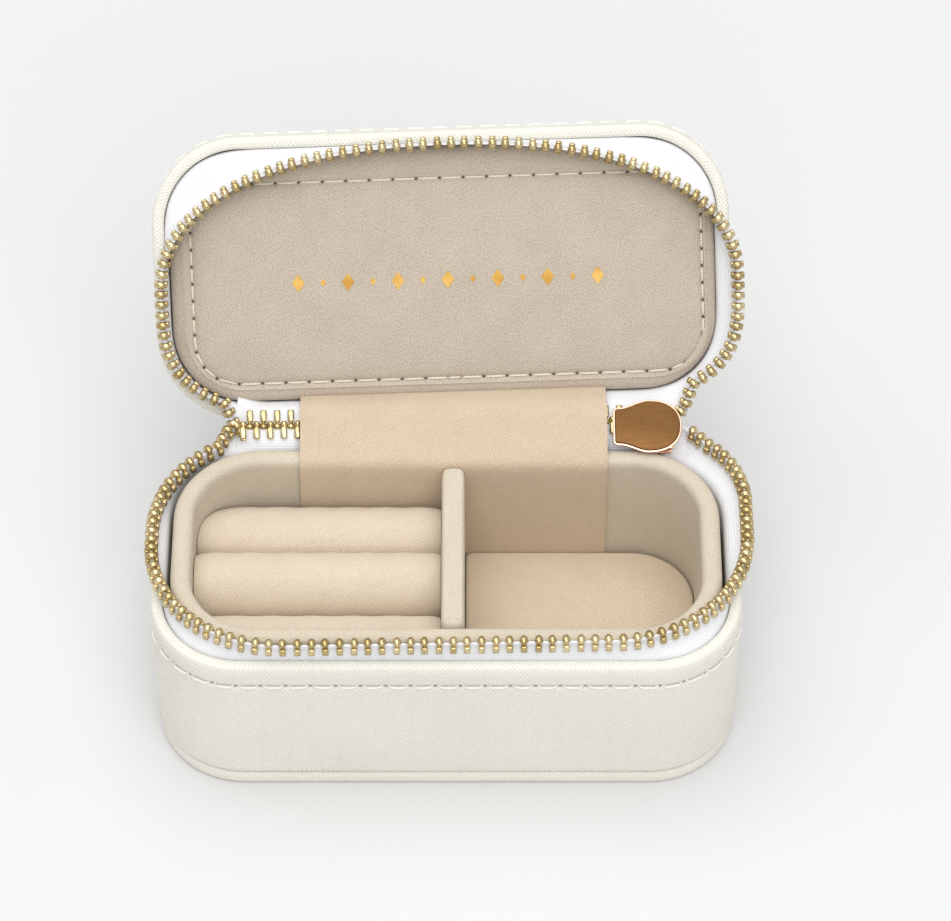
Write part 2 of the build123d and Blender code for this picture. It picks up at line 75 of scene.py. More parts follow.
def softLine(corners, cut, steps=6):
    # each inner corner c becomes (1-t)^2 a + 2 t (1-t) c + t^2 b, with a and b up to cut away from it
    corners = np.asarray(corners, float)
    cuts = np.broadcast_to(np.asarray(cut, float), (len(corners),))
    t = np.linspace(0, 1, steps)[:, None]
    made = [corners[:1]]
    for before, corner, after, reach in zip(corners, corners[1:], corners[2:], cuts[1:]):
        toA, toB = before - corner, after - corner
        a = corner + toA * min(0.5, reach / np.linalg.norm(toA))
        b = corner + toB * min(0.5, reach / np.linalg.norm(toB))
        made.append((1 - t) ** 2 * a + 2 * t * (1 - t) * corner + t ** 2 * b)
    made.append(corners[-1:])
    line = np.concatenate(made)
    keep = np.concatenate([[True], np.linalg.norm(np.diff(line, axis=0), axis=1) > 1e-6])
    return line[keep]


def unit(rows):
    return rows / np.linalg.norm(rows, axis=-1, keepdims=True)


def raised(flat, height):
    return np.c_[flat, np.full(len(flat), height)]


def awayFrom(outline):
    # the outward direction at each point of a closed outline that runs counterclockwise
    ahead = unit(np.roll(outline, -1, 0) - np.roll(outline, 1, 0))
    return np.stack([ahead[:, 1], -ahead[:, 0]], -1)


def evenly(line, count):
    return along(line, np.linspace(0, lengths(line)[-1], count))


def finer(line, step):
    # the same polyline with its long runs divided so that none is longer than step
    runs = np.linalg.norm(np.diff(line, axis=0), axis=1)
    parts = [a + (b - a) * np.linspace(0, 1, int(math.ceil(r / step)), endpoint=False)[:, None]
             for a, b, r in zip(line, line[1:], runs)]
    return np.concatenate(parts + [line[-1:]])


def roundedRing(halfX, halfY, radii, centre=(0.0, 0.0), runs=(200, 52), turn=70):
    # straight runs between quarter circles c + r (cos t, sin t), from the back middle round by the left
    radii = np.broadcast_to(np.asarray(radii, float), (4,))
    signs = np.array([(-1, 1), (-1, -1), (1, -1), (1, 1)])
    t = np.radians(90 + 90 * np.arange(4)[:, None] + np.linspace(0, 90, turn)[None])
    normals = np.stack([np.cos(t), np.sin(t)], -1)
    middles = signs * (np.array([halfX, halfY]) - radii[:, None])
    arcs = middles[:, None] + radii[:, None, None] * normals
    points, outward = [], []
    for n in range(4):
        across, down = arcs[n - 1][-1], arcs[n][0]
        count = runs[n % 2]
        share = np.linspace(0, 1, count, endpoint=False)[:, None]
        share = share[share[:, 0] > 0]
        run = across + (down - across) * share
        points += [run, arcs[n]]
        outward += [np.broadcast_to(normals[n][0], run.shape), normals[n]]
    points, outward = np.concatenate(points), np.concatenate(outward)
    half = runs[0] // 2
    return np.roll(points, -half, 0) + np.array(centre), np.roll(outward, -half, 0)


def ovalRing(halfX, front, back, powers, centre, count):
    # x = a |cos t|^(2/p), y = b |sin t|^(2/p) about the centre, with its own b and p for the front and the back
    t = math.pi / 2 + 2 * math.pi * np.arange(count) / count
    c, s = np.cos(t), np.sin(t)
    p = np.where(s > 0, powers[1], powers[0])
    reach = np.where(s > 0, back, front)
    x, y = np.sign(c) * np.abs(c) ** (2 / p) * halfX, np.sign(s) * np.abs(s) ** (2 / p) * reach
    return np.stack([x, y], -1) + np.array(centre)


def carried(ring, outward, profile):
    # point(v, u) = ring(u) - inset(v) outward(u), at height(v)
    inset, height = profile[:, 0], profile[:, 1]
    flat = ring[None] - inset[:, None, None] * outward[None]
    return np.dstack([flat, np.broadcast_to(height[:, None], flat.shape[:2])])


def thickened(middle, thick):
    # both faces of a sheet: middle + and - half its thickness along the surface normal
    du, dv = np.gradient(middle, axis=0), np.gradient(middle, axis=1)
    normal = unit(np.cross(du, dv))
    return np.concatenate([middle + normal * thick / 2, (middle - normal * thick / 2)[::-1]])


def woven(grid, wrapRows=False, wrapCols=True, caps="rows"):
    # a grid of points as quads, closed by flat caps, facing outwards, with its lengths as the UV map
    rows, cols = grid.shape[:2]
    flat = grid.reshape(-1, 3)
    index = np.arange(rows * cols).reshape(rows, cols)
    index = np.concatenate([index, index[:1]]) if wrapRows else index
    index = np.concatenate([index, index[:, :1]], 1) if wrapCols else index
    place = flat[index]
    u = np.concatenate([[0.0], np.cumsum(np.linalg.norm(np.diff(place, axis=1), axis=-1).max(0))])
    v = np.concatenate([[0.0], np.cumsum(np.linalg.norm(np.diff(place, axis=0), axis=-1).mean(1))])
    uv = np.stack(np.meshgrid(u, v), -1)
    corners = [index[:-1, :-1], index[:-1, 1:], index[1:, 1:], index[1:, :-1]]
    quads = np.stack(corners, -1).reshape(-1, 4)
    uvs = np.stack([uv[:-1, :-1], uv[:-1, 1:], uv[1:, 1:], uv[1:, :-1]], -2).reshape(-1, 4, 2)
    lids = []
    if caps == "rows":
        lids = [index[0, :cols][::-1], index[-1 if not wrapRows else -2, :cols]]
    if caps == "cols":
        lids = [index[:rows, 0], index[:rows, -1][::-1]]
    a, b, c, d = (flat[quads[:, n]] for n in range(4))
    volume = (a * np.cross(b, c)).sum() + (a * np.cross(c, d)).sum()
    for lid in lids:
        e = flat[lid]
        volume += (e[0] * np.cross(e[1:-1], e[2:])).sum()
    if volume < 0:
        quads, uvs, lids = quads[:, ::-1], uvs[:, ::-1], [lid[::-1] for lid in lids]
    faces, coords = quads.tolist(), [uvs.reshape(-1, 2)]
    for lid in lids:
        e = flat[lid]
        axes = [n for n in range(3) if n != int(np.argmin(np.ptp(e, axis=0)))]
        faces.append(lid.tolist())
        coords.append(e[:, axes])
    return flat, faces, np.concatenate(coords)


def sheetPart(middle, thick):
    return woven(thickened(middle, thick), wrapRows=True, wrapCols=False, caps="cols")


def seenFlat(part, level=None):
    # the pattern taken straight from x and y, on the whole part or only on faces that lie at one level
    points, faces, uvs = part
    sizes = np.array([len(f) for f in faces])
    corners = np.concatenate([np.array(f) for f in faces])
    near = np.abs(points[corners, 2] - level) < 0.7 if level is not None else np.ones(len(corners), bool)
    whole = np.repeat(np.logical_and.reduceat(near, np.cumsum(sizes) - sizes), sizes)
    return points, faces, np.where(whole[:, None], points[corners, :2], uvs)


def copies(part, places, frames):
    # p = place + x along + y across + z up, for every copy of one small part
    points, faces, uvs = part
    moved = np.asarray(places)[:, None] + np.einsum("vi,kij->kvj", points, np.asarray(frames))
    shifts = np.arange(len(places)) * len(points)
    faces = [[n + s for n in f] for s in shifts.tolist() for f in faces]
    return moved.reshape(-1, 3), faces, np.tile(uvs, (len(places), 1))


def together(*parts):
    shifts = np.concatenate([[0], np.cumsum([len(p[0]) for p in parts])]).astype(int).tolist()
    faces = [[n + s for n in f] for p, s in zip(parts, shifts) for f in p[1]]
    return np.concatenate([p[0] for p in parts]), faces, np.concatenate([p[2] for p in parts])


opened = {"lid": 1.0, "zip_tail": 0.5, "slider": 0.5, "pull": 0.5}  # each body's share of the lid's swing


def makePiece(name, part, finish, body=None, stands=(), crease=50, hole=None):
    points, faces, uvs = part
    points = swing(points, opened[body]) if body in opened else points
    mesh = bpy.data.meshes.new(name)
    mesh.from_pydata((points * 0.001).tolist(), [], faces)
    mesh.uv_layers.new(name="UVMap").data.foreach_set("uv", uvs.astype(np.float32).ravel())
    # the needle attribute is read by the finishes to paint shade into the needle holes
    if hole is not None:
        mesh.attributes.new("needle", "FLOAT", "POINT").data.foreach_set("value", hole.astype(np.float32).ravel())
    mesh.materials.append(finish)
    mesh.shade_smooth()
    mesh.set_sharp_from_angle(angle=math.radians(crease))
    mesh.update()
    piece = bpy.data.objects.new(name, mesh)
    bpy.context.scene.collection.objects.link(piece)
    if body:
        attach(piece, body)
    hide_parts(*stands)
    return piece


class Wire:
    def __init__(self, finish, socket):
        self.finish, self.socket = finish, socket

    def math(self, kind, *others):
        return self.finish.node("ShaderNodeMath", {"operation": kind}, dict(enumerate((self, *others))))

    def __add__(self, o): return self.math("ADD", o)
    def __radd__(self, o): return self.math("ADD", o)
    def __sub__(self, o): return self.math("SUBTRACT", o)
    def __rsub__(self, o): return self.finish.node("ShaderNodeMath", {"operation": "SUBTRACT"}, {0: o, 1: self})
    def __mul__(self, o): return self.math("MULTIPLY", o)
    def __rmul__(self, o): return self.math("MULTIPLY", o)


class Finish:
    def __init__(self, name, **shader):
        self.material = bpy.data.materials.new(name)
        self.material.use_nodes = True
        self.tree = self.material.node_tree
        self.shader = next(n for n in self.tree.nodes if n.type == "BSDF_PRINCIPLED")
        for key, value in shader.items():
            self.feed(self.shader.inputs[key.replace("_", " ")], value)

    def feed(self, socket, value):
        if isinstance(value, Wire):
            self.tree.links.new(value.socket, socket)
        else:
            socket.default_value = value

    def node(self, kind, settings=None, inputs=None, output=0):
        made = self.tree.nodes.new(kind)
        for key, value in (settings or {}).items():
            setattr(made, key, value)
        for key, value in (inputs or {}).items():
            self.feed(made.inputs[key], value)
        return Wire(self, made.outputs[output])

    def plan(self):
        # the surface's own lengths, u along and v across, in millimetres
        split = self.node("ShaderNodeSeparateXYZ", None, {0: self.node("ShaderNodeUVMap", {"uv_map": "UVMap"})})
        return split, Wire(self, split.socket.node.outputs[1])

    def noise(self, where, scale, detail=2.0, rough=0.5):
        return self.node("ShaderNodeTexNoise", None,
                         {"Vector": where, "Scale": scale, "Detail": detail, "Roughness": rough})

    def place(self):
        return self.node("ShaderNodeTexCoord", None, None, "Object")

    def blendOf(self, share, first, second):
        made = self.tree.nodes.new("ShaderNodeMix")
        made.data_type = "RGBA"
        self.feed(made.inputs[0], share)
        self.feed(made.inputs[6], first)
        self.feed(made.inputs[7], second)
        return Wire(self, made.outputs[2])

    def spread(self, value, low, high, outLow=0.0, outHigh=1.0):
        return self.node("ShaderNodeMapRange", {"clamp": True},
                         {0: value, 1: low, 2: high, 3: outLow, 4: outHigh})

    def bump(self, height, distance, strength=1.0):
        normal = self.node("ShaderNodeBump", None, {"Height": height, "Distance": distance, "Strength": strength})
        self.feed(self.shader.inputs["Normal"], normal)

    def use(self, **sockets):
        for key, value in sockets.items():
            self.feed(self.shader.inputs[key.replace("_", " ")], value)
        return self.material


def tint(red, green, blue):
    # 0 to 255 display values as linear light
    c = np.array([red, green, blue]) / 255
    linear = np.where(c <= 0.04045, c / 12.92, ((c + 0.055) / 1.055) ** 2.4)
    return (*linear.tolist(), 1.0)


def ripple(f, value, pitch):
    # 0 to 1 wave that repeats every pitch
    return (value * (2 * math.pi / pitch)).math("SINE") * 0.5 + 0.5


def leatherFinish(name, light, dark):
    # pressed cross-hatch: one strong set of slanting ridges and a weaker one across it, both a little broken
    f = Finish(name, Roughness=0.5, Specular_IOR_Level=0.42)
    u, v = f.plan()
    uv = f.node("ShaderNodeUVMap", {"uv_map": "UVMap"})
    wander = f.noise(uv, 0.35, 2.0) * 0.7
    strong = ripple(f, u * 0.80 - v * 0.60 + wander * 0.4, 0.64)
    weak = ripple(f, u * 0.86 + v * 0.52 + wander * 0.4, 0.68)
    broken = f.noise(uv, 2.4, 3.0)
    ridges = strong.math("MAXIMUM", weak * 0.72) * f.spread(broken, 0.3, 0.65, 0.45, 1.0)
    needle = f.node("ShaderNodeAttribute", {"attribute_name": "needle"}, None, "Fac")
    tone = f.spread(ridges, 0.1, 0.9)
    patches = f.spread(f.noise(uv, 0.05, 3.0), 0.3, 0.7)
    colour = f.blendOf(tone * 0.75 + patches * 0.25, dark, light)
    # the needle-hole mask mixes in a dark brown: painted shade inside the needle holes
    colour = f.blendOf(f.spread(needle, 0.25, 0.8), colour, tint(96, 88, 74))
    f.bump(ridges + f.noise(uv, 9.0, 1.0) * 0.12, 0.00016, 0.9)
    return f.use(Base_Color=colour, Roughness=f.spread(ridges, 0.0, 1.0, 0.62, 0.44))


def napFinish(name, light, dark, twill=0.42, weave=0.5, mottle=0.5, sheen=0.25):
    # short nap over a fine twill: slanting lines, broken threads, soft cloudy patches
    f = Finish(name, Roughness=0.95, Specular_IOR_Level=0.15, Sheen_Weight=sheen, Sheen_Roughness=0.5,
               Sheen_Tint=(1.0, 0.95, 0.86, 1.0))
    u, v = f.plan()
    uv = f.node("ShaderNodeUVMap", {"uv_map": "UVMap"})
    shift = f.noise(uv, 0.8, 2.0) * 0.35
    lines = ripple(f, u * 0.62 + v * 0.78 + shift, twill)
    cross = ripple(f, u * 0.9 - v * 0.35 + shift, twill * 0.8)
    fibre = f.noise(uv, 5.5, 2.0, 0.7)
    height = lines * weave + cross * (weave * 0.35) + fibre * 0.6
    clouds = f.spread(f.noise(uv, 0.11, 3.0, 0.6), 0.32, 0.68)
    grainy = f.spread(f.noise(uv, 2.6, 3.0, 0.75), 0.33, 0.67)
    needle = f.node("ShaderNodeAttribute", {"attribute_name": "needle"}, None, "Fac")
    share = f.spread(height, 0.25, 0.3 + weave + 0.2) * (0.85 - 0.35 * mottle) + grainy * (0.5 * mottle) + clouds * 0.12
    colour = f.blendOf(share, dark, light)
    # the needle-hole mask mixes in a dark brown: painted shade inside the needle holes
    colour = f.blendOf(f.spread(needle, 0.25, 0.8), colour, tint(84, 68, 52))
    f.bump(height + grainy * 0.5, 0.00014, 0.9)
    return f.use(Base_Color=colour)


def tapeFinish(name, light, dark):
    # woven zip tape: close ribs along it crossed by finer weft
    f = Finish(name, Roughness=0.85, Specular_IOR_Level=0.25, Sheen_Weight=0.15)
    u, v = f.plan()
    uv = f.node("ShaderNodeUVMap", {"uv_map": "UVMap"})
    ribs = ripple(f, v + f.noise(uv, 1.2, 1.0) * 0.1, 0.5)
    weft = ripple(f, u + v * 0.5, 0.42)
    height = ribs * 0.5 + weft * 0.5 + f.noise(uv, 6.0, 2.0) * 0.2
    f.bump(height, 0.00008, 0.7)
    return f.use(Base_Color=f.blendOf(f.spread(height, 0.2, 1.0), dark, light))


def threadFinish(name, light, dark):
    # twisted thread: slanting plies along each stitch
    f = Finish(name, Roughness=0.7, Sheen_Weight=0.2)
    u, v = f.plan()
    plies = ripple(f, v * 1.0 + u * 0.6, 0.5)
    f.bump(plies, 0.00006, 0.7)
    return f.use(Base_Color=f.blendOf(plies * 0.6 + 0.3, dark, light))


def metalFinish(name, bright, deep, rough=(0.18, 0.34), scale=900.0):
    # plated metal: faint clouding and fine scratches
    f = Finish(name, Metallic=1.0)
    where = f.place()
    cloudy = f.noise(where, scale * 0.25, 3.0)
    grain = f.noise(where, scale * 3, 2.0, 0.7)
    f.bump(grain, 0.00001, 0.35)
    return f.use(Base_Color=f.blendOf(f.spread(cloudy, 0.35, 0.65), deep, bright),
                 Roughness=f.spread(grain, 0.3, 0.7, *rough))


def brushedFinish(name, bright, deep):
    # plate rubbed lengthwise: fine streaks along X
    f = Finish(name, Metallic=1.0)
    where = f.node("ShaderNodeMapping", None, {0: f.place(), 3: (260.0, 7000.0, 7000.0)})
    streaks = f.noise(where, 1.0, 3.0, 0.6)
    marks = f.noise(f.place(), 420.0, 3.0, 0.6)
    f.bump(streaks, 0.0000012, 0.3)
    return f.use(Base_Color=f.blendOf(f.spread(streaks * 0.7 + marks * 0.3, 0.35, 0.65), deep, bright),
                 Roughness=f.spread(marks, 0.3, 0.7, 0.24, 0.38))


def plainFinish(name, light, dark, scale, rough):
    # board: speckled, dull
    f = Finish(name, Roughness=rough)
    speckle = f.noise(f.place(), scale, 4.0, 0.7)
    f.bump(speckle, 0.00006, 0.5)
    return f.use(Base_Color=f.blendOf(f.spread(speckle, 0.35, 0.65), dark, light))


leather = leatherFinish("leatherette", tint(241, 239, 230), tint(222, 219, 208))
# the same leatherette as the walls, tinted a little lighter: painted light making up for the shade along the base's
# plate near the floor; the lid top takes the same lightened copy
litPlateLeather = leatherFinish("plateLeatherette", tint(243, 239, 229), tint(228, 222, 211))
thread = threadFinish("seamThread", tint(246, 244, 236), tint(222, 219, 206))
tapeCloth = tapeFinish("zipTape", tint(241, 241, 242), tint(218, 220, 225))
zipMetal = metalFinish("champagneMetal", tint(224, 207, 164), tint(184, 161, 110))
roseGold = brushedFinish("roseGold", tint(106, 76, 45), tint(94, 66, 38))
roseEdge = metalFinish("roseGoldEdge", tint(240, 204, 180), tint(224, 178, 148), (0.15, 0.25))
foilGold = metalFinish("foilGold", tint(196, 158, 88), tint(172, 130, 62), (0.25, 0.4))
trayNap = napFinish("trayNap", tint(224, 214, 196), tint(188, 175, 153), 0.5, 0.4, 0.8)
rollNap = napFinish("rollNap", tint(236, 222, 203), tint(203, 186, 161), 0.42, 0.75, 0.35)
# the same nap as the rolls, tinted lighter: painted light making up for the shade at the bottom of the tray
litFloorNap = napFinish("litFloorNap", tint(240, 223, 200), tint(204, 184, 157), 0.42, 0.75, 0.35)
strapNap = napFinish("strapCloth", tint(230, 211, 186), tint(192, 171, 144), 0.42, 0.85, 0.2)
panelNap = napFinish("panelNap", tint(215, 204, 189), tint(160, 146, 129), 0.46, 0.25, 1.0)
panelThread = threadFinish("panelThread", tint(236, 229, 214), tint(204, 194, 176))
card = plainFinish("card", tint(176, 164, 144), tint(150, 138, 120), 1400.0, 0.9)
print("finishes made")

shellRing, shellOut = roundedRing(shell["halfWidth"], shell["halfDepth"], shell["corner"])
shellSpan = lengths(np.concatenate([shellRing, shellRing[:1]]))
wallFit = {"bulge": 0.12, "band": 0.16, "valley": 0.26, "valleyWidth": 0.7, "stitchPitch": 4.45, "holeDepth": 0.4,
           "holeSize": 0.36, "stitchLength": 3.5, "stitchRadius": 0.25, "stitchLift": -0.06}
bandSpan = (-30.4, 17.2)  # the seams stop beside the rear band


def seamPlaces():
    # where needle holes fall round the shell, and which stitches between them are sewn
    count = int(round(shellSpan[-1] / wallFit["stitchPitch"]))
    holes = shellSpan[-1] * np.arange(count) / count
    middles = holes + shellSpan[-1] / count / 2
    closed = np.concatenate([shellRing, shellRing[:1]])
    at = along(closed, middles)
    sewn = ~((at[:, 1] > 0) & (at[:, 0] > bandSpan[0]) & (at[:, 0] < bandSpan[1]))
    pricked = along(closed, holes)
    holeSewn = ~((pricked[:, 1] > 0) & (pricked[:, 0] > bandSpan[0] + 2) & (pricked[:, 0] < bandSpan[1] - 2))
    return holes[holeSewn], middles[sewn]


def wallPart(low, high, rim):
    # carried profile: outer face, seam valley, padded band, rolled rim, inner face; needle dimples pushed in
    skin, ring = shell["leather"], shell["leather"] + shell["core"]
    up = 1 if rim == high else -1
    foot = low if rim == high else high
    seam = rim - up * shell["seamDrop"]
    outer = softLine([(skin, foot + up * 0.05), (1.0, foot + up * 0.05), (0.0, foot + up * 0.9),
                      (0.0, rim - up * 1.2), (0.25, rim + up * 0.02), (1.1, rim + up * 0.2),
                      (ring - 0.1, rim + up * 0.05), (ring, rim - up * 0.9), (skin + 0.05, rim - up * 0.92),
                      (skin, rim - up * 1.3), (skin, foot)],
                     [0, 0.35, 0.6, 1.0, 0.8, 0.6, 0.6, 0.1, 0.1, 0.2, 0])
    profile = finer(outer, 1.6)
    extra = seam + up * np.linspace(-1.5, 1.5, 15)
    face = (profile[:, 0] < 0.01) & (np.abs(profile[:, 1] - seam) < 1.7)
    first = int(np.argmax(face))
    profile = np.concatenate([profile[:first][~face[:first]], np.stack([np.zeros(15), extra], -1),
                              profile[first:][~face[first:]]])
    grid = carried(shellRing, shellOut, profile[:-1])
    height, inset = profile[:-1, 1], profile[:-1, 0]
    facing = np.clip(1 - inset / 0.9, 0, 1)
    facing[len(facing) * 2 // 3:] *= (inset[len(facing) * 2 // 3:] < 0.5)
    share = np.clip((height - foot) / (rim - foot), 0, 1)
    puff = wallFit["bulge"] * np.sin(math.pi * np.clip(share / 0.84, 0, 1))
    puff = puff + wallFit["band"] * np.sin(math.pi * np.clip((share - 0.845) / 0.155, 0, 1)) ** 0.7
    puff = puff - wallFit["valley"] * np.exp(-((height - seam) / wallFit["valleyWidth"]) ** 2)
    holes, _ = seamPlaces()
    offset = shellSpan[:-1][None] - holes[:, None]
    offset = (offset + shellSpan[-1] / 2) % shellSpan[-1] - shellSpan[-1] / 2
    nearest = np.abs(offset).min(0)
    distance = np.hypot(nearest[None], (height - seam)[:, None])
    # this mask dents the wall at each hole and, as the needle attribute, carries the painted shade in the holes
    needle = np.exp(-(distance / wallFit["holeSize"]) ** 2) * (facing > 0.6)[:, None]
    push = (puff * facing)[:, None] - wallFit["holeDepth"] * needle
    grid[..., :2] += push[..., None] * shellOut[None]
    return woven(grid, wrapRows=True, caps=""), needle


def tube(line, radii, sides):
    # rings c + r (n cos a + b sin a) carried along a line
    line = np.asarray(line, float)
    ahead = unit(np.gradient(line, axis=0))
    side = unit(np.cross(ahead, (0.0, 0.0, 1.0)))
    up = np.cross(side, ahead)
    a = 2 * math.pi * np.arange(sides) / sides
    r = np.broadcast_to(np.asarray(radii, float), (len(line),))[:, None, None]
    return line[:, None] + r * (side[:, None] * np.cos(a)[None, :, None] + up[:, None] * np.sin(a)[None, :, None])


def stitchPart(length, radius, lift, sink):
    # a thread that comes out of one hole and goes into the next; x along the seam, y out of the surface
    t = np.linspace(-1, 1, 8)
    line = np.stack([t * length / 2, lift * (1 - t ** 4) - sink * t ** 8, 0 * t], -1)
    return woven(tube(line, radius * (1 - 0.35 * t ** 6), 7))


def seamPart(height):
    _, middles = seamPlaces()
    closed = np.concatenate([shellRing, shellRing[:1]])
    at = along(closed, middles)
    ahead = unit(along(closed, np.minimum(middles + 0.4, shellSpan[-1])) - along(closed, middles - 0.4))
    out = np.stack([ahead[:, 1], -ahead[:, 0]], -1)
    out = out * np.sign((out * at).sum(1))[:, None]
    zero, one = np.zeros(len(at)), np.ones(len(at))
    slope = 0.03 * np.sin(np.arange(len(at)) * 2.4)  # hand-fed stitches are never quite level
    frames = np.stack([np.c_[ahead, slope], np.c_[out, zero], np.c_[zero, zero, one]], 1)
    places = raised(at + out * wallFit["stitchLift"], height)
    return copies(stitchPart(wallFit["stitchLength"], wallFit["stitchRadius"], 0.16, 0.5), places, frames)


plateFit = {"inset": 0.3, "reach": 7.0}


def platePart(low, high, outside):
    # carried profile of a wrapped plate: flat outside, round edge, tucked in where it meets the wall
    up = 1 if outside == low else -1
    near, far = outside, (high if outside == low else low)
    inset, reach, inner = plateFit["inset"], plateFit["reach"], near + up * shell["leather"]
    line = softLine([(reach, near), (inset, near), (inset - 0.1, near + up * 1.5), (inset + 0.1, far - up * 0.35),
                     (1.3, far - up * 0.1), (2.2, far)], [0, 1.3, 0.4, 0.8, 0.3, 0], 7)
    flat = np.linspace(reach, 2.0, 5)[:-1]
    line = np.concatenate([np.stack([flat, np.full(4, near)], -1), line[1:]])
    under = softLine([(2.2, far), (2.25, far - up * 0.1), (2.25, inner), (reach, inner)], [0, 0.05, 0.3, 0], 4)
    return seenFlat(woven(carried(shellRing, shellOut, np.concatenate([line, under[1:]]))), outside)


baseWallPart, baseNeedles = wallPart(shell["plate"], shell["rim"], shell["rim"])
lidWallPart, lidNeedles = wallPart(shell["lidRim"], shell["lidTop"] - shell["plate"], shell["lidRim"])
makePiece("baseWall", baseWallPart, leather, "base", ["base_wall_cover"], hole=baseNeedles)
makePiece("lidWall", lidWallPart, leather, "lid", ["lid_wall_cover"], hole=lidNeedles)
makePiece("baseStitches", seamPart(shell["rim"] - shell["seamDrop"]), thread, "base",
          ["base_seam_thread"])
makePiece("lidStitches", seamPart(shell["lidRim"] + shell["seamDrop"]), thread, "lid",
          ["lid_seam_thread"])
makePiece("basePlate", platePart(0.0, shell["plate"], 0.0), litPlateLeather, "base",
          ["base_bottom_cover"])
makePiece("lidTop", platePart(shell["lidTop"] - shell["plate"], shell["lidTop"], shell["lidTop"]), litPlateLeather,
          "lid", ["lid_top_cover", "lid_top_foam"])
print("leather shell made")

tapeFit = {"thick": 0.5, "anchorInset": 2.42, "anchorLow": 28.2, "bend": 34.2, "step": 35.0, "edgeLow": 36.2,
           "edgeHigh": 38.3, "spacing": 0.8}
loopFit = {"lowerHalf": (54.2, 24.95), "lowerCorners": (22.0, 24.5, 24.5, 17.5), "lowerCentre": (0.6, 1.35), "skew": 0.02,
           "upperHalf": 53.4, "upperReach": (26.6, 23.9), "upperPowers": (2.25, 3.6), "upperCentre": (1.3, 2.2),
           "pitchSide": (2.02, 1.92), "pitch": 2.54,
           "lowerEnds": ([(-38.4, 27.9), (-40.6, 26.9)], [(46.2, 25.9), (44.4, 27.0)]),
           "upperEnds": ([(-38.0, 28.2), (-39.6, 26.8)], [(44.4, 25.6), (42.9, 27.8)])}
lowerRing, _ = roundedRing(*loopFit["lowerHalf"], loopFit["lowerCorners"], loopFit["lowerCentre"], (120, 8), 50)
lowerRing[:, 1] += loopFit["skew"] * lowerRing[:, 0]
upperRing = ovalRing(loopFit["upperHalf"], *loopFit["upperReach"], loopFit["upperPowers"], loopFit["upperCentre"], 1440)
anchorRing, _ = roundedRing(shell["halfWidth"] - tapeFit["anchorInset"], shell["halfDepth"] - tapeFit["anchorInset"],
                            shell["corner"] - tapeFit["anchorInset"], runs=(400, 100), turn=160)


def openRun(ring, ends):
    # the stretch of a loop outside the closed back, its two ends drawn in to the fold
    first, last = np.array(ends[0]), np.array(ends[1])
    keep = ~((ring[:, 1] > 0) & (ring[:, 0] > first[1, 0] - 1.5) & (ring[:, 0] < last[0, 0] + 1.5))
    return finer(np.concatenate([first, ring[keep], last]), 0.2)


def mirrored(points):
    return points * np.array([1, 1, -1]) + np.array([0, 0, 2 * chain["height"]])


def tapePart(ring, ends):
    # each section goes up behind the rim, leans out over it and stands up between the teeth
    run = openRun(ring, ends)
    total = lengths(run)[-1]
    top = along(run, np.linspace(0, total, int(total / tapeFit["spacing"])))
    aspect = np.array([shell["halfWidth"], shell["halfDepth"]])
    heading = np.arctan2(*(top / aspect).T[::-1])  # each foot lies in its top's own direction, so no corner is cut
    gaps = np.abs(np.angle(np.exp(1j * (heading[:, None] - np.arctan2(*(anchorRing / aspect).T[::-1])[None]))))
    foot = anchorRing[gaps.argmin(1)]
    kernel = np.ones(9) / 9
    padded = np.concatenate([np.repeat(foot[:1], 4, 0), foot, np.repeat(foot[-1:], 4, 0)])
    foot = np.stack([np.convolve(padded[:, n], kernel, "valid") for n in range(2)], -1)
    sections = []
    for a, b in zip(foot, top):
        mid = a + (b - a) * 0.55
        corners = [(*a, tapeFit["anchorLow"]), (*a, tapeFit["bend"]), (*mid, tapeFit["step"]),
                   (*b, tapeFit["edgeLow"]), (*b, tapeFit["edgeHigh"])]
        sections.append(evenly(softLine(corners, [0, 1.2, 1.5, 1.2, 0], 5), 18))
    return sheetPart(np.stack(sections, 1), tapeFit["thick"])


toothFit = {"legThick": 0.58, "openLow": 0.75, "closedLow": 0.0}


def toothPart(low):
    # ball head on a narrow neck over two flat legs; x is the thickness, y across the tape, z out from it
    z = np.array([2.02, 2.30, 2.56, 2.98, 3.40, 3.60])
    y = np.array([0.86, 0.70, 0.80, 1.08, 0.80, 0.16])
    x = np.array([0.48, 0.46, 0.58, 0.79, 0.60, 0.12])
    a = 2 * math.pi * (np.arange(8) + 0.5) / 8
    head = [x[:, None] * np.cos(a)[None], y[:, None] * np.sin(a)[None], np.repeat(z[:, None], 8, 1)]
    parts = [woven(np.stack(head, -1))]
    heights = np.array([low, low + 0.12, 2.05, 2.2])
    size = np.array([0.78, 1.0, 0.95, 0.7])
    corner = np.array([(1, -0.7), (1, 0.7), (0.6, 1), (-0.6, 1), (-1, 0.7), (-1, -0.7), (-0.6, -1), (0.6, -1)])
    for side in (-1, 1):
        leg = np.stack([toothFit["legThick"] * size[:, None] * corner[:, 0][None],
                        side * 0.80 + 0.44 * size[:, None] * corner[:, 1][None], np.repeat(heights[:, None], 8, 1)], -1)
        parts.append(woven(leg))
    return together(*parts)


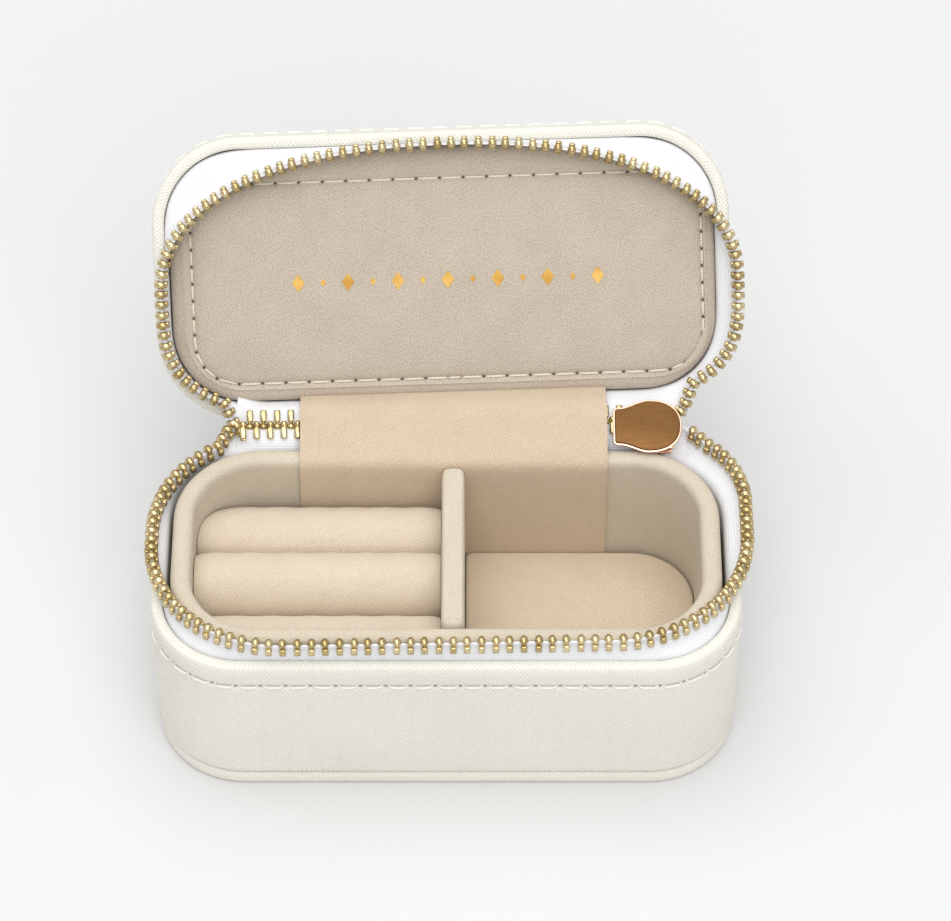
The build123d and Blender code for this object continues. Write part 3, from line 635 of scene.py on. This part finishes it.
def teethPart(ring, ends, sidePitch):
    # teeth along the open run, closing up where it bends round the sides
    run = openRun(ring, ends)
    total = lengths(run)[-1]
    fine = np.linspace(0, total, 2000)
    step = np.gradient(along(run, fine), axis=0)
    sideways = np.abs(step[:, 1]) / np.linalg.norm(step, axis=1)
    density = 1 / (loopFit["pitch"] + (sidePitch - loopFit["pitch"]) * np.clip(sideways * 1.3, 0, 1))
    count = np.concatenate([[0.0], np.cumsum((density[1:] + density[:-1]) / 2 * np.diff(fine))])
    places = np.interp(np.arange(0.35, count[-1] - 0.25), count, fine)
    at = along(run, places)
    ahead = unit(along(run, places + 0.3) - along(run, places - 0.3))
    zero, one = np.zeros(len(at)), np.ones(len(at))
    wobble = 0.035 * np.sin(np.arange(len(at)) * 1.9)
    frames = np.stack([np.c_[ahead, wobble], np.c_[-ahead[:, 1], ahead[:, 0], zero],
                       np.c_[-wobble[:, None] * ahead, one]], 1)
    return copies(toothPart(toothFit["openLow"]), raised(at, chain["start"]), frames)


def flipped(part):
    # mirror across the plane between the chains, with every face turned back outwards
    points, faces, uvs = part
    faces = [f[::-1] for f in faces]
    sizes = np.array([len(f) for f in faces])
    ends = np.cumsum(sizes)
    order = np.concatenate([np.arange(e - 1, e - n - 1, -1) for e, n in zip(ends, sizes)])
    return mirrored(points), faces, uvs[order]


lowerTeeth = teethPart(lowerRing, loopFit["lowerEnds"], loopFit["pitchSide"][0])
upperTeeth = flipped(teethPart(upperRing, loopFit["upperEnds"], loopFit["pitchSide"][1]))
makePiece("lowerTape", tapePart(lowerRing, loopFit["lowerEnds"]), tapeCloth, "base", ["lower_zip_tape"])
makePiece("upperTape", flipped(tapePart(upperRing, loopFit["upperEnds"])), tapeCloth, "lid",
          ["upper_zip_tape"])
makePiece("lowerTeeth", lowerTeeth, zipMetal, "base", ["lower_zip_teeth"], crease=60)
makePiece("upperTeeth", upperTeeth, zipMetal, "lid", ["upper_zip_teeth"], crease=60)
print("zip made")

trayFit = {"halfWidth": 50.0, "halfDepth": 22.9, "corner": 16.0, "shift": 0.4, "wall": 3.7, "top": 37.6, "bottom": 8.4,
           "floor": 9.6}
trayRing, trayOut = roundedRing(trayFit["halfWidth"], trayFit["halfDepth"], trayFit["corner"], (0.0, trayFit["shift"]),
                                (120, 40), 40)
trayTop = trayFit["top"] - 0.05
trayLine = softLine([(12.0, trayFit["bottom"]), (0.0, trayFit["bottom"]), (0.0, trayTop), (trayFit["wall"], trayTop),
                     (trayFit["wall"], trayFit["floor"]), (12.0, trayFit["floor"])], [0, 1.0, 1.84, 1.84, 1.0, 0], 10)
trayPart = woven(carried(trayRing, trayOut, finer(trayLine, 2.0)))
makePiece("tray", trayPart, trayNap, "base", ["tray_shell", "tray_support_foam"])

dividerFit = {"middle": 1.2, "thick": 4.2, "front": -18.7, "back": 18.6, "low": 9.65, "top": 37.6}
half = dividerFit["thick"] / 2
dividerRing, dividerOut = roundedRing(half, (dividerFit["back"] - dividerFit["front"]) / 2, 1.5,
                                      (dividerFit["middle"], (dividerFit["front"] + dividerFit["back"]) / 2), (12, 60), 10)
dividerLine = softLine([(0.1, dividerFit["low"]), (-0.05, dividerFit["low"] + 8), (0.0, dividerFit["top"]),
                        (1.45, dividerFit["top"])], [0, 3, 1.9, 0], 9)
dividerPart = woven(carried(dividerRing, dividerOut, finer(dividerLine, 2.0)))
makePiece("divider", dividerPart, trayNap, "base", ["divider_cover"])

padFit = {"left": 3.45, "right": 46.15, "front": -18.65, "back": 18.7, "low": 11.3, "top": 13.2, "crown": 0.35,
          "edge": 0.8, "size": 18.0}
padCentre = np.array([(padFit["left"] + padFit["right"]) / 2, (padFit["front"] + padFit["back"]) / 2])
padRing, _ = roundedRing((padFit["right"] - padFit["left"]) / 2, (padFit["back"] - padFit["front"]) / 2,
                         (0.9, 0.9, 12.0, 11.5), padCentre, (50, 50), 24)


def cushionGrid():
    # rings c + (p - c) s that shrink towards the middle while the height climbs round the edge to a low crown
    t = np.linspace(0, 1, 8)
    size, edge = padFit["size"], padFit["edge"]
    shoulder = padFit["top"] - padFit["crown"]
    edgeIn = edge * (1 - np.cos(t * math.pi / 2)) / size
    edgeUp = shoulder - edge + edge * np.sin(t * math.pi / 2)
    inner = np.linspace(edge / size, 0.8, 10)[1:]
    rise = shoulder + padFit["crown"] * np.sin(np.clip(inner / 0.6, 0, 1) * math.pi / 2)
    shrink = np.concatenate([[0.25, 0.0], edgeIn, inner])
    height = np.concatenate([[padFit["low"]] * 2, edgeUp, rise])
    flat = padCentre + (padRing - padCentre)[None] * (1 - shrink)[:, None, None]
    return np.dstack([flat, np.broadcast_to(height[:, None], flat.shape[:2])])


floorPad = makePiece("floorPad", seenFlat(woven(cushionGrid())), litFloorNap, "base", ["tray_floor_pad"])

rollFit = {"centres": (12.4, -0.4, -12.6), "radii": (6.1, 6.3, 5.8), "crowns": (29.9, 32.0, 29.0),
           "right": -1.05, "low": 9.7, "pinch": 0.5, "wave": 0.06}


def rollPart(centre, radius, crown, phase):
    # section (y, z): flat foot, straight sides, half-round top; its ends are drawn in and the left one follows the tray
    turn = np.radians(np.linspace(0, 180, 25))
    axis = crown - radius
    foot = rollFit["low"] - axis
    y = np.concatenate([radius * np.cos(turn), [-radius, -radius, 0.0, radius, radius]])
    z = np.concatenate([radius * np.sin(turn), [foot / 2, foot, foot, foot, foot / 2]])
    u = np.concatenate([[0, 0.004, 0.012, 0.025], np.linspace(0.045, 0.955, 34), [0.975, 0.988, 0.996, 1]])
    inner = trayFit["corner"] - trayFit["wall"] - 0.15
    over = np.clip(np.abs(centre + y - trayFit["shift"]) - (trayFit["halfDepth"] - trayFit["corner"]), 0, inner)
    left = -(trayFit["halfWidth"] - trayFit["corner"]) - np.sqrt(inner ** 2 - over ** 2)
    x = left[None] + (rollFit["right"] - left)[None] * u[:, None]
    fromEnd = np.minimum(u, 1 - u) * 45
    drawn = rollFit["pinch"] * np.exp(-fromEnd / 0.9) - rollFit["wave"] * np.sin(x[:, 12] * 0.9 + phase)
    shrink = 1 - drawn / radius
    height = axis + np.where(z > 0, z, 0)[None] * shrink[:, None] + np.where(z > 0, 0, z)[None]
    return woven(np.stack([x, centre + y[None] * shrink[:, None], height], -1))


for name, centre, radius, crown, phase in zip(("back", "middle", "front"), rollFit["centres"], rollFit["radii"],
                                              rollFit["crowns"], (0.4, 2.1, 3.9)):
    roll = makePiece("ringRoll." + name, rollPart(centre, radius, crown, phase), rollNap, "base",
                     [f"ring_roll_{name}_cover", f"ring_roll_{name}_foam"])
print("tray made")

panelFit = {"centre": (0.1, -0.15), "halfWidth": 50.7, "halfDepth": 23.4, "corner": 13.8, "face": 45.2, "inner": 48.75,
            "crown": 0.9, "groove": 0.3, "hole": 0.34, "edge": 2.2}
seamFit = {"centre": (0.9, 1.05), "halfWidth": 47.4, "halfDepth": 18.7, "corner": 8.0, "longPitch": 4.35, "endPitch": 3.2}
(panelRing, panelOut), (seamRing, seamOut) = [
    roundedRing(fit["halfWidth"], fit["halfDepth"], fit["corner"], fit["centre"], (260, 70), 60)
    for fit in (panelFit, seamFit)]


def panelHoles():
    # needle holes: long steps along the sides, short ones round the ends
    closed = finer(np.concatenate([seamRing, seamRing[:1]]), 0.2)
    span = lengths(closed)
    ahead = np.gradient(closed, axis=0)
    flat = np.abs(ahead[:, 0]) / np.linalg.norm(ahead, axis=1) > 0.95
    places, s = [], 0.0
    while s < span[-1] - 2.0:
        places.append(s)
        s += seamFit["longPitch"] if flat[np.searchsorted(span, s)] else seamFit["endPitch"]
    return closed, span, np.array(places)


panelPath, panelSpan, panelPlaces = panelHoles()


def panelHeight(inside):
    # how far the velvet stands proud of the seam, by the distance inside it
    return panelFit["crown"] * (1 - np.exp(-np.clip(inside, 0, None) / 2.6))


def panelPart():
    # rings from the back round the edge to the seam, then inwards over the padding; dimples at the holes
    t = np.linspace(0, 1, 7)
    r = panelFit["edge"]
    edgeIn = np.concatenate([[8.0, 0.4, 0.0], r * (1 - np.cos(t * math.pi / 2))])
    edgeUp = np.concatenate([[panelFit["inner"]] * 2, [panelFit["inner"] - 0.5],
                             panelFit["face"] + r - r * np.sin(t * math.pi / 2)])
    rings = [raised(panelRing - i * panelOut, z) for i, z in zip(edgeIn, edgeUp)]
    rim = rings[-1][:, :2]
    outer = seamRing + seamOut * 0.9
    for share in (0.3, 0.6, 0.85, 1.0):
        flat = rim + (outer - rim) * share
        rings.append(raised(flat, panelFit["face"] - 0.25 * math.sin(math.pi * share)))
    inside = np.array([-0.65, -0.45, -0.25, -0.1, 0.0, 0.1, 0.25, 0.45, 0.65, 0.95, 1.4, 2.0, 2.8, 3.8, 5.0, 6.4, 7.8])
    for d in inside:
        valley = panelFit["groove"] * math.exp(-(d / 0.5) ** 2)
        rings.append(raised(seamRing - seamOut * d, panelFit["face"] + valley - panelHeight(d)))
    grid = np.stack(rings)
    holes = along(panelPath, panelPlaces)
    # this mask shapes the velvet at each hole and, as the needle attribute, carries the painted shade in the holes
    needle = np.zeros(grid.shape[:2])
    near = slice(13, 26)
    gap = np.linalg.norm(grid[near, :, None, :2] - holes[None, None], axis=-1).min(-1)
    needle[near] = np.exp(-(gap / panelFit["hole"]) ** 2)
    grid[..., 2] += 0.35 * needle
    return grid, needle


panelGrid, panelNeedles = panelPart()
panel = makePiece("lidPanel", seenFlat(woven(panelGrid)), panelNap, "lid",
                  ["lid_panel_cover", "lid_panel_foam"], hole=panelNeedles)


def panelStitches():
    # one thread from each hole to the next, sunk at both ends
    starts, ends = panelPlaces, np.append(panelPlaces[1:], panelSpan[-1])
    a, b = along(panelPath, starts), along(panelPath, ends)
    ahead = b - a
    reach = np.linalg.norm(ahead, axis=1)
    ahead = ahead / reach[:, None]
    parts = []
    for long in (True, False):
        pick = (reach > 3.6) == long
        size = (seamFit["longPitch"] if long else seamFit["endPitch"]) - 0.7
        zero, one = np.zeros(pick.sum()), np.ones(pick.sum())
        frames = np.stack([np.c_[ahead[pick], zero], np.c_[zero, zero, -one],
                           np.c_[-ahead[pick][:, 1], ahead[pick][:, 0], zero]], 1)
        places = raised((a + b)[pick] / 2, panelFit["face"] + panelFit["groove"] - 0.02)
        parts.append(copies(stitchPart(size, 0.2, 0.16, 0.3), places, frames))
    return together(*parts)


makePiece("panelStitches", panelStitches(), panelThread, "lid", ["lid_panel_seam_thread"])

foilFit = {"count": 13, "row": 55.6, "tall": (1.7, 0.75), "wide": (1.2, 0.55), "thick": 0.05, "turn": 0.3,
           "centre": (1.05, 1.15)}


def foilPart():
    # lozenges |x/w| + |y/h| = 1, large and small in turn, pressed flat on the velvet
    turn = math.radians(foilFit["turn"])
    face = panelFit["face"] - panelHeight(9.0)
    parts = []
    for n in range(foilFit["count"]):
        x = -foilFit["row"] / 2 + foilFit["row"] * n / (foilFit["count"] - 1)
        w, h = foilFit["wide"][n % 2], foilFit["tall"][n % 2]
        outline = np.array([(x - w, 0), (x, -h), (x + w, 0), (x, h)])
        level = np.array([(math.cos(turn), math.sin(turn)), (-math.sin(turn), math.cos(turn))])
        flat = outline @ level + foilFit["centre"]
        parts.append(woven(np.stack([raised(flat, face + 0.02), raised(flat, face - foilFit["thick"])])))
    return together(*parts)


makePiece("foilRow", foilPart(), foilGold, "lid", ["lid_panel_foil_row"], crease=30)
print("lid panel made")

strapFit = {"left": -27.2, "right": 29.7, "thick": 0.6, "floor": 11.2, "wall": 19.15, "rimMiddle": 21.45,
            "rimHeight": 35.75, "bend": 2.35, "overChain": 26.4, "rise": 3.2, "edge": 22.65, "face": 45.55,
            "behind": 49.35}


def strapLine(x):
    # up the tray's back wall, over its rim, over the zip and round the lower edge of the lid panel
    rest = [(x, strapFit["wall"], strapFit["floor"]), (x, strapFit["wall"], strapFit["rimHeight"])]
    for t in np.radians((150, 125)):
        rest.append((x, strapFit["rimMiddle"] + strapFit["bend"] * math.cos(t),
                     strapFit["rimHeight"] + strapFit["bend"] * math.sin(t)))
    rise, edge, behind = strapFit["rise"], strapFit["edge"], strapFit["behind"]
    chainSide = [swing((x, strapFit["overChain"], chain["height"] + up), 0.5) for up in (-rise, rise)]
    lidSide = [swing((x, y, z)) for y, z in ((edge, strapFit["face"]), (edge, behind), (edge - 9, behind))]
    return softLine(rest + chainSide + lidSide, [0, 2.5, 1.0, 2.0, 2.6, 2.4, 1.4, 0.8, 0], 7)


def ruled(lineAt, left, right, columns, step):
    # straight from the line at one side to the line at the other
    first, last = finer(lineAt(left), step), lineAt(right)
    first = along(lineAt(left), np.linspace(0, lengths(lineAt(left))[-1], len(first)))
    last = along(last, np.linspace(0, lengths(last)[-1], len(first)))
    t = np.linspace(0, 1, columns)[None, :, None]
    return first[:, None] * (1 - t) + last[:, None] * t


strapMiddle = ruled(strapLine, strapFit["left"], strapFit["right"], 40, 0.8)
strap = makePiece("hingeStrap", sheetPart(strapMiddle, strapFit["thick"]), strapNap, None,
                  ["inner_hinge_strap"])
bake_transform(strap)
lengths(strapMiddle[:, 0])[-1] / 1000

bandFit = {"left": -28.2, "right": 15.0, "thick": 0.8, "outside": 27.3, "reach": 7.5}


def bandLine(x):
    # up the base's back, round under the zip and along the lid's back
    y = bandFit["outside"]
    start = np.array([x, y, chain["height"] - bandFit["reach"]])
    end = swing((x, y, chain["height"] + bandFit["reach"]))
    pull = np.array([x, y + 0.1, chain["height"] - 1.7])
    t = np.linspace(0, 1, 14)[:, None]
    bend = (1 - t) ** 2 * start + 2 * t * (1 - t) * pull + t ** 2 * end
    return np.concatenate([[(x, y, start[2] - 6)], bend, [swing((x, y, shell["lidTop"] - 1.5))]])


bandMiddle = ruled(bandLine, bandFit["left"], bandFit["right"], 30, 0.6)
band = makePiece("rearBand", sheetPart(bandMiddle, bandFit["thick"]), leather, None,
                 ["rear_hinge_band"])
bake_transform(band)
lengths(bandMiddle[:, 0])[-1] / 1000

backFit = {"runs": ((12.0, 44.8, 30), (-39.0, -27.3, 14)), "anchor": 23.7, "anchorLow": 29.5, "bend": 33.6,
           "outer": 3.5, "inner": 0.5, "join": 27.2,
           "follows": {-1: ("lowerBackTape", (0.0237, 0.0338), (0.02136, 0.03882)),
                       1: ("upperBackTape", (0.03198, 0.04378), (0.0343, 0.0388))}}


def backTape(side):
    # from behind the rim to the closed chain; side -1 is the base's tape and 1 the lid's
    out = hinge["tail"]

    def lineAt(x):
        over = max(0.0, (x - 36.0) / 8.8, (-33.0 - x) / 6.0) ** 2  # 1 where it runs into the open tape
        y = backFit["anchor"] - 2.0 * over
        rim = np.array([(x, y, backFit["anchorLow"]), (x, y, backFit["bend"])])
        own = np.array([(x, backFit["join"], tapeFit["edgeLow"]), (x, backFit["join"], tapeFit["edgeHigh"])])
        tail = swing([(x, out, chain["height"] + side * backFit[edge]) for edge in ("outer", "inner")], 0.5)
        if side > 0:
            rim, own = swing(mirrored(rim)), swing(mirrored(own))
        tail = tail + (own - tail) * over
        return evenly(softLine(np.concatenate([rim, tail]), [0, 1.6, 1.6, 0], 6), 18)

    strips = [np.stack([lineAt(v) for v in np.linspace(*run)], 1) for run in backFit["runs"]]
    return together(*[sheetPart(strip, tapeFit["thick"]) for strip in strips])


for side, (name, start, end) in backFit["follows"].items():
    piece = makePiece(name, backTape(side), tapeCloth, None, ["zip_tail_tapes"])
    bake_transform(piece)

tailFit = {"runs": ((20.6, 6), (-37.9, 5)), "lift": (1.45, 0.95), "gap": 0.3}


def tailTeeth():
    # meshed teeth: one tape's stand up between the other's, which hang down
    foot = chain["height"] - chain["length"] - tailFit["gap"]
    x = np.concatenate([start + chain["pitch"] * np.arange(count) for start, count in tailFit["runs"]])
    rows = []
    for side, offset, lift in ((1, 0, tailFit["lift"][0]), (-1, chain["pitch"] / 2, tailFit["lift"][1])):
        z = foot + lift if side > 0 else 2 * chain["height"] - foot - lift
        places = raised(np.c_[x + offset, np.full(len(x), hinge["tail"])], z)
        frames = np.repeat(np.diag([1.0, 1.0, side])[None], len(x), 0)
        points, faces, uvs = copies(toothPart(toothFit["closedLow"]), places, frames)
        rows.append((points, faces if side > 0 else [f[::-1] for f in faces], uvs))
    return together(*rows)


makePiece("closedTeeth", tailTeeth(), zipMetal, "zip_tail", ["closed_chain_teeth"], crease=60)

sliderFit = {"left": 31.1, "right": 43.2, "plate": 0.8, "half": 4.75, "neckHalf": 3.3, "inside": 1.7, "bevel": 0.2,
             "mouth": 5.8, "drop": 1.45, "rim": 0.32}


def bottleRing():
    # straight tail, S-shaped shoulders and a round mouth end, from the tail's lower corner round by the mouth
    half, neck = sliderFit["half"], sliderFit["neckHalf"]
    middle = sliderFit["right"] - sliderFit["mouth"]
    shoulder = np.linspace(0, 1, 18)
    x = sliderFit["left"] + 0.9 + (middle - sliderFit["left"] - 0.9) * shoulder
    z = neck + (half - neck) * (3 * shoulder ** 2 - 2 * shoulder ** 3)
    t = np.linspace(-90, 90, 26)[1:-1]
    c, u = np.cos(np.radians(t)), np.sin(np.radians(t))
    mouth = np.c_[middle + sliderFit["mouth"] * c ** 0.88, half * np.sign(u) * np.abs(u) ** 0.88]
    lower = np.c_[x, -z]
    upper = np.c_[x, z][::-1]
    corner = np.array([(0.6, neck), (0.15, neck - 0.15), (0.0, neck - 0.6)])
    tailEnd = np.concatenate([corner, corner[::-1] * (1, -1)]) + (sliderFit["left"], 0)
    return np.concatenate([lower, mouth, upper, tailEnd])


def slab(outline, low, high, bevel):
    # a flat plate with rounded edges: x and z from the outline, y from low to high
    outward = awayFrom(outline)
    t = np.radians(np.array([0, 30, 60, 90]))
    inset = np.concatenate([bevel * (1 - np.sin(t)), bevel * (1 - np.sin(t[::-1]))])
    depth = np.concatenate([low + bevel * (1 - np.cos(t)), high - bevel * (1 - np.cos(t[::-1]))])
    flat = outline[None] - inset[:, None, None] * outward[None]
    height = flat[..., 1] + chain["height"] - sliderFit["drop"]
    return woven(np.stack([flat[..., 0], np.broadcast_to(depth[:, None], flat.shape[:2]), height], -1))


def sliderParts():
    inside, half = sliderFit["inside"], sliderFit["half"]
    y = hinge["tail"]
    ring = bottleRing()
    inner = slab(ring, y - inside - sliderFit["plate"], y - inside, sliderFit["bevel"])
    outer = slab(ring, y + inside, y + inside + sliderFit["plate"], sliderFit["bevel"])
    wider = ring + sliderFit["rim"] * awayFrom(ring)
    rails = [slab(wider, y - inside - 0.35, y - inside + 0.1, 0.12)]
    for side in (-1, 1):
        low, high = sorted((side * (half - 0.9), side * (half - 0.15)))
        x = np.linspace(35.6, 41.6, 12)
        bow = np.interp(x, [35.6, 38.2, 41.6], [-0.75, 0.0, -0.35]) * side
        rail = np.concatenate([np.c_[x, low + bow], np.c_[x, high + bow][::-1]])
        for y0, y1 in ((y - inside - 0.2, y - 0.55), (y + 0.55, y + inside + 0.2)):
            rails.append(slab(rail, y0, y1, 0.08))
    wedge = np.array([(39.3, 0.0), (41.2, -0.85), (42.4, 0.0), (41.2, 0.85)])
    rails.append(slab(wedge, y - inside - 0.1, y + inside + 0.1, 0.05))
    return inner, together(outer, *rails)


innerPlate, outerParts = sliderParts()
makePiece("sliderPlate", innerPlate, roseGold, "slider", ["slider_body"], crease=35)
makePiece("sliderBody", outerParts, roseEdge, "slider", [], crease=35)

pullFit = {"x": 37.2, "bailTop": 5.1, "wire": 0.42, "frame": 1.75, "tabStart": 38.15, "tabLength": 15.0,
           "tabHalf": 3.0, "thick": 1.2, "strip": 0.68}


def bailPart():
    # flat strip bent up from the outer plate, over the pull's bar and down again
    low, high = hinge["tail"] + 2.5, hinge["tail"] + pullFit["bailTop"] - 0.35
    line = softLine([(-2.6, low - 0.15), (-2.6, high), (2.6, high), (2.6, low - 0.15)], [0, 1.1, 1.1, 0], 8)
    z = np.linspace(-0.8, 0.8, 5)
    middle = np.stack([np.repeat(pullFit["x"] + line[:, :1], 5, 1), np.repeat(line[:, 1:], 5, 1),
                       np.broadcast_to(chain["height"] + z, (len(line), 5))], -1)
    return sheetPart(middle, pullFit["strip"])


def linkPart():
    # round wire bent into a long closed loop
    low, high = hinge["tail"] + pullFit["bailTop"] - 1.35, pullFit["tabStart"] + 0.4
    f = pullFit["frame"]
    corners = np.array([(0.0, low), (-f, low), (-f, high), (f, high), (f, low), (0.0, low)])
    line = softLine(corners, [0, 0.7, 0.7, 0.7, 0.7, 0], 8)[:-1]
    side = awayFrom(line)
    a = 2 * math.pi * np.arange(10) / 10
    r = pullFit["wire"]
    grid = [pullFit["x"] + r * np.sin(a)[None] + 0 * line[:, :1], line[:, 1:] + r * np.cos(a)[None] * side[:, 1:],
            chain["height"] + line[:, :1] + r * np.cos(a)[None] * side[:, :1]]
    return woven(np.stack(grid, -1), wrapRows=True, caps="")


def tabPart():
    # slim tab: a rounded outline in y and z, thickened along x with rounded edges
    start = pullFit["tabStart"] + 0.9
    ring, out = roundedRing(pullFit["tabHalf"], pullFit["tabLength"] / 2, 2.4, (0, 0), (12, 20), 10)
    t = np.radians(np.array([0, 25, 50, 75, 90]))
    half, bevel = pullFit["thick"] / 2, 0.35
    sunk, rounding = bevel * (1 - np.sin(t)), -half + bevel * (1 - np.cos(t))
    inset = np.concatenate([[1.9], sunk, sunk[::-1], [1.9]])
    depth = np.concatenate([[-half - 0.05], rounding, -rounding[::-1], [half + 0.05]])
    flat = ring[None] - inset[:, None, None] * out[None]
    return woven(np.stack([pullFit["x"] + np.broadcast_to(depth[:, None], flat.shape[:2]),
                           start + pullFit["tabLength"] / 2 + flat[..., 1], chain["height"] + flat[..., 0]], -1))


makePiece("sliderBail", bailPart(), roseEdge, "slider", ["slider_bail"])
makePiece("pullLink", linkPart(), roseEdge, "pull", ["pull_link"])
makePiece("pullTab", tabPart(), roseGold, "pull", ["pull_tab"])

boards = ["base_bottom_board", "base_wall_core", "lid_wall_core", "lid_top_board", "divider_board", "tray_floor_board",
          "lid_panel_board"]
for name in [*boards, "zip_bottom_stop"]:
    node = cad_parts[name]
    node.data.materials.clear()
    node.data.materials.append(card if name in boards else zipMetal)
print("zip pull made")

room = {"floor": tint(216, 216, 216), "size": 3.0, "world": 0.66, "key": 7.6, "fill": 8.0}
floorMesh = bpy.data.meshes.new("floor")
s = room["size"]
floorMesh.from_pydata([(-s, -s, 0), (s, -s, 0), (s, s, 0), (-s, s, 0)], [], [(0, 1, 2, 3)])
floor = bpy.data.objects.new("floor", floorMesh)
bpy.context.scene.collection.objects.link(floor)
ground = Finish("ground", Roughness=0.9, Specular_IOR_Level=0.1)
shade = ground.spread(ground.noise(ground.place(), 3.0, 2.0), 0.3, 0.7)
floorMesh.materials.append(ground.use(Base_Color=ground.blendOf(shade, tint(213, 213, 213), room["floor"])))

world = bpy.data.worlds.new("studio")
bpy.context.scene.world = world
bpy.context.scene.view_settings.view_transform = "Standard"
world.use_nodes = True
sky = world.node_tree.nodes["Background"]
sky.inputs[0].default_value = (1.0, 1.0, 1.0, 1.0)
sky.inputs[1].default_value = room["world"]


def softLight(name, place, aim, size, power):
    data = bpy.data.lights.new(name, "AREA")
    data.shape, data.size, data.energy = "SQUARE", size, power
    lamp = bpy.data.objects.new(name, data)
    lamp.location = place
    lamp.rotation_mode = "QUATERNION"
    lamp.rotation_quaternion = (Vector(aim) - Vector(place)).to_track_quat("-Z", "Y")
    bpy.context.scene.collection.objects.link(lamp)


softLight("keyLight", (-0.12, 0.18, 1.15), (0, 0, 0.02), 1.2, room["key"])
softLight("fillLight", (0.15, -0.75, 1.1), (0, 0, 0.03), 1.0, room["fill"])

view = {"elevation": 49.3, "distance": 0.780, "aim": (0.0053, 0.0153, 0.0431), "fieldDegrees": 12.74}
lift = math.radians(view["elevation"])
camera = bpy.data.objects.new("camera", bpy.data.cameras.new("camera"))
camera.location = Vector(view["aim"]) + Vector((0, -math.cos(lift), math.sin(lift))) * view["distance"]
camera.rotation_euler = (math.pi / 2 - lift, 0, 0)
camera.data.sensor_width = 36
camera.data.lens = 18 / math.tan(math.radians(view["fieldDegrees"]) / 2)
camera.data.clip_start, camera.data.clip_end = 0.01, 20
bpy.context.scene.collection.objects.link(camera)
bpy.context.scene.camera = camera
print("room made")
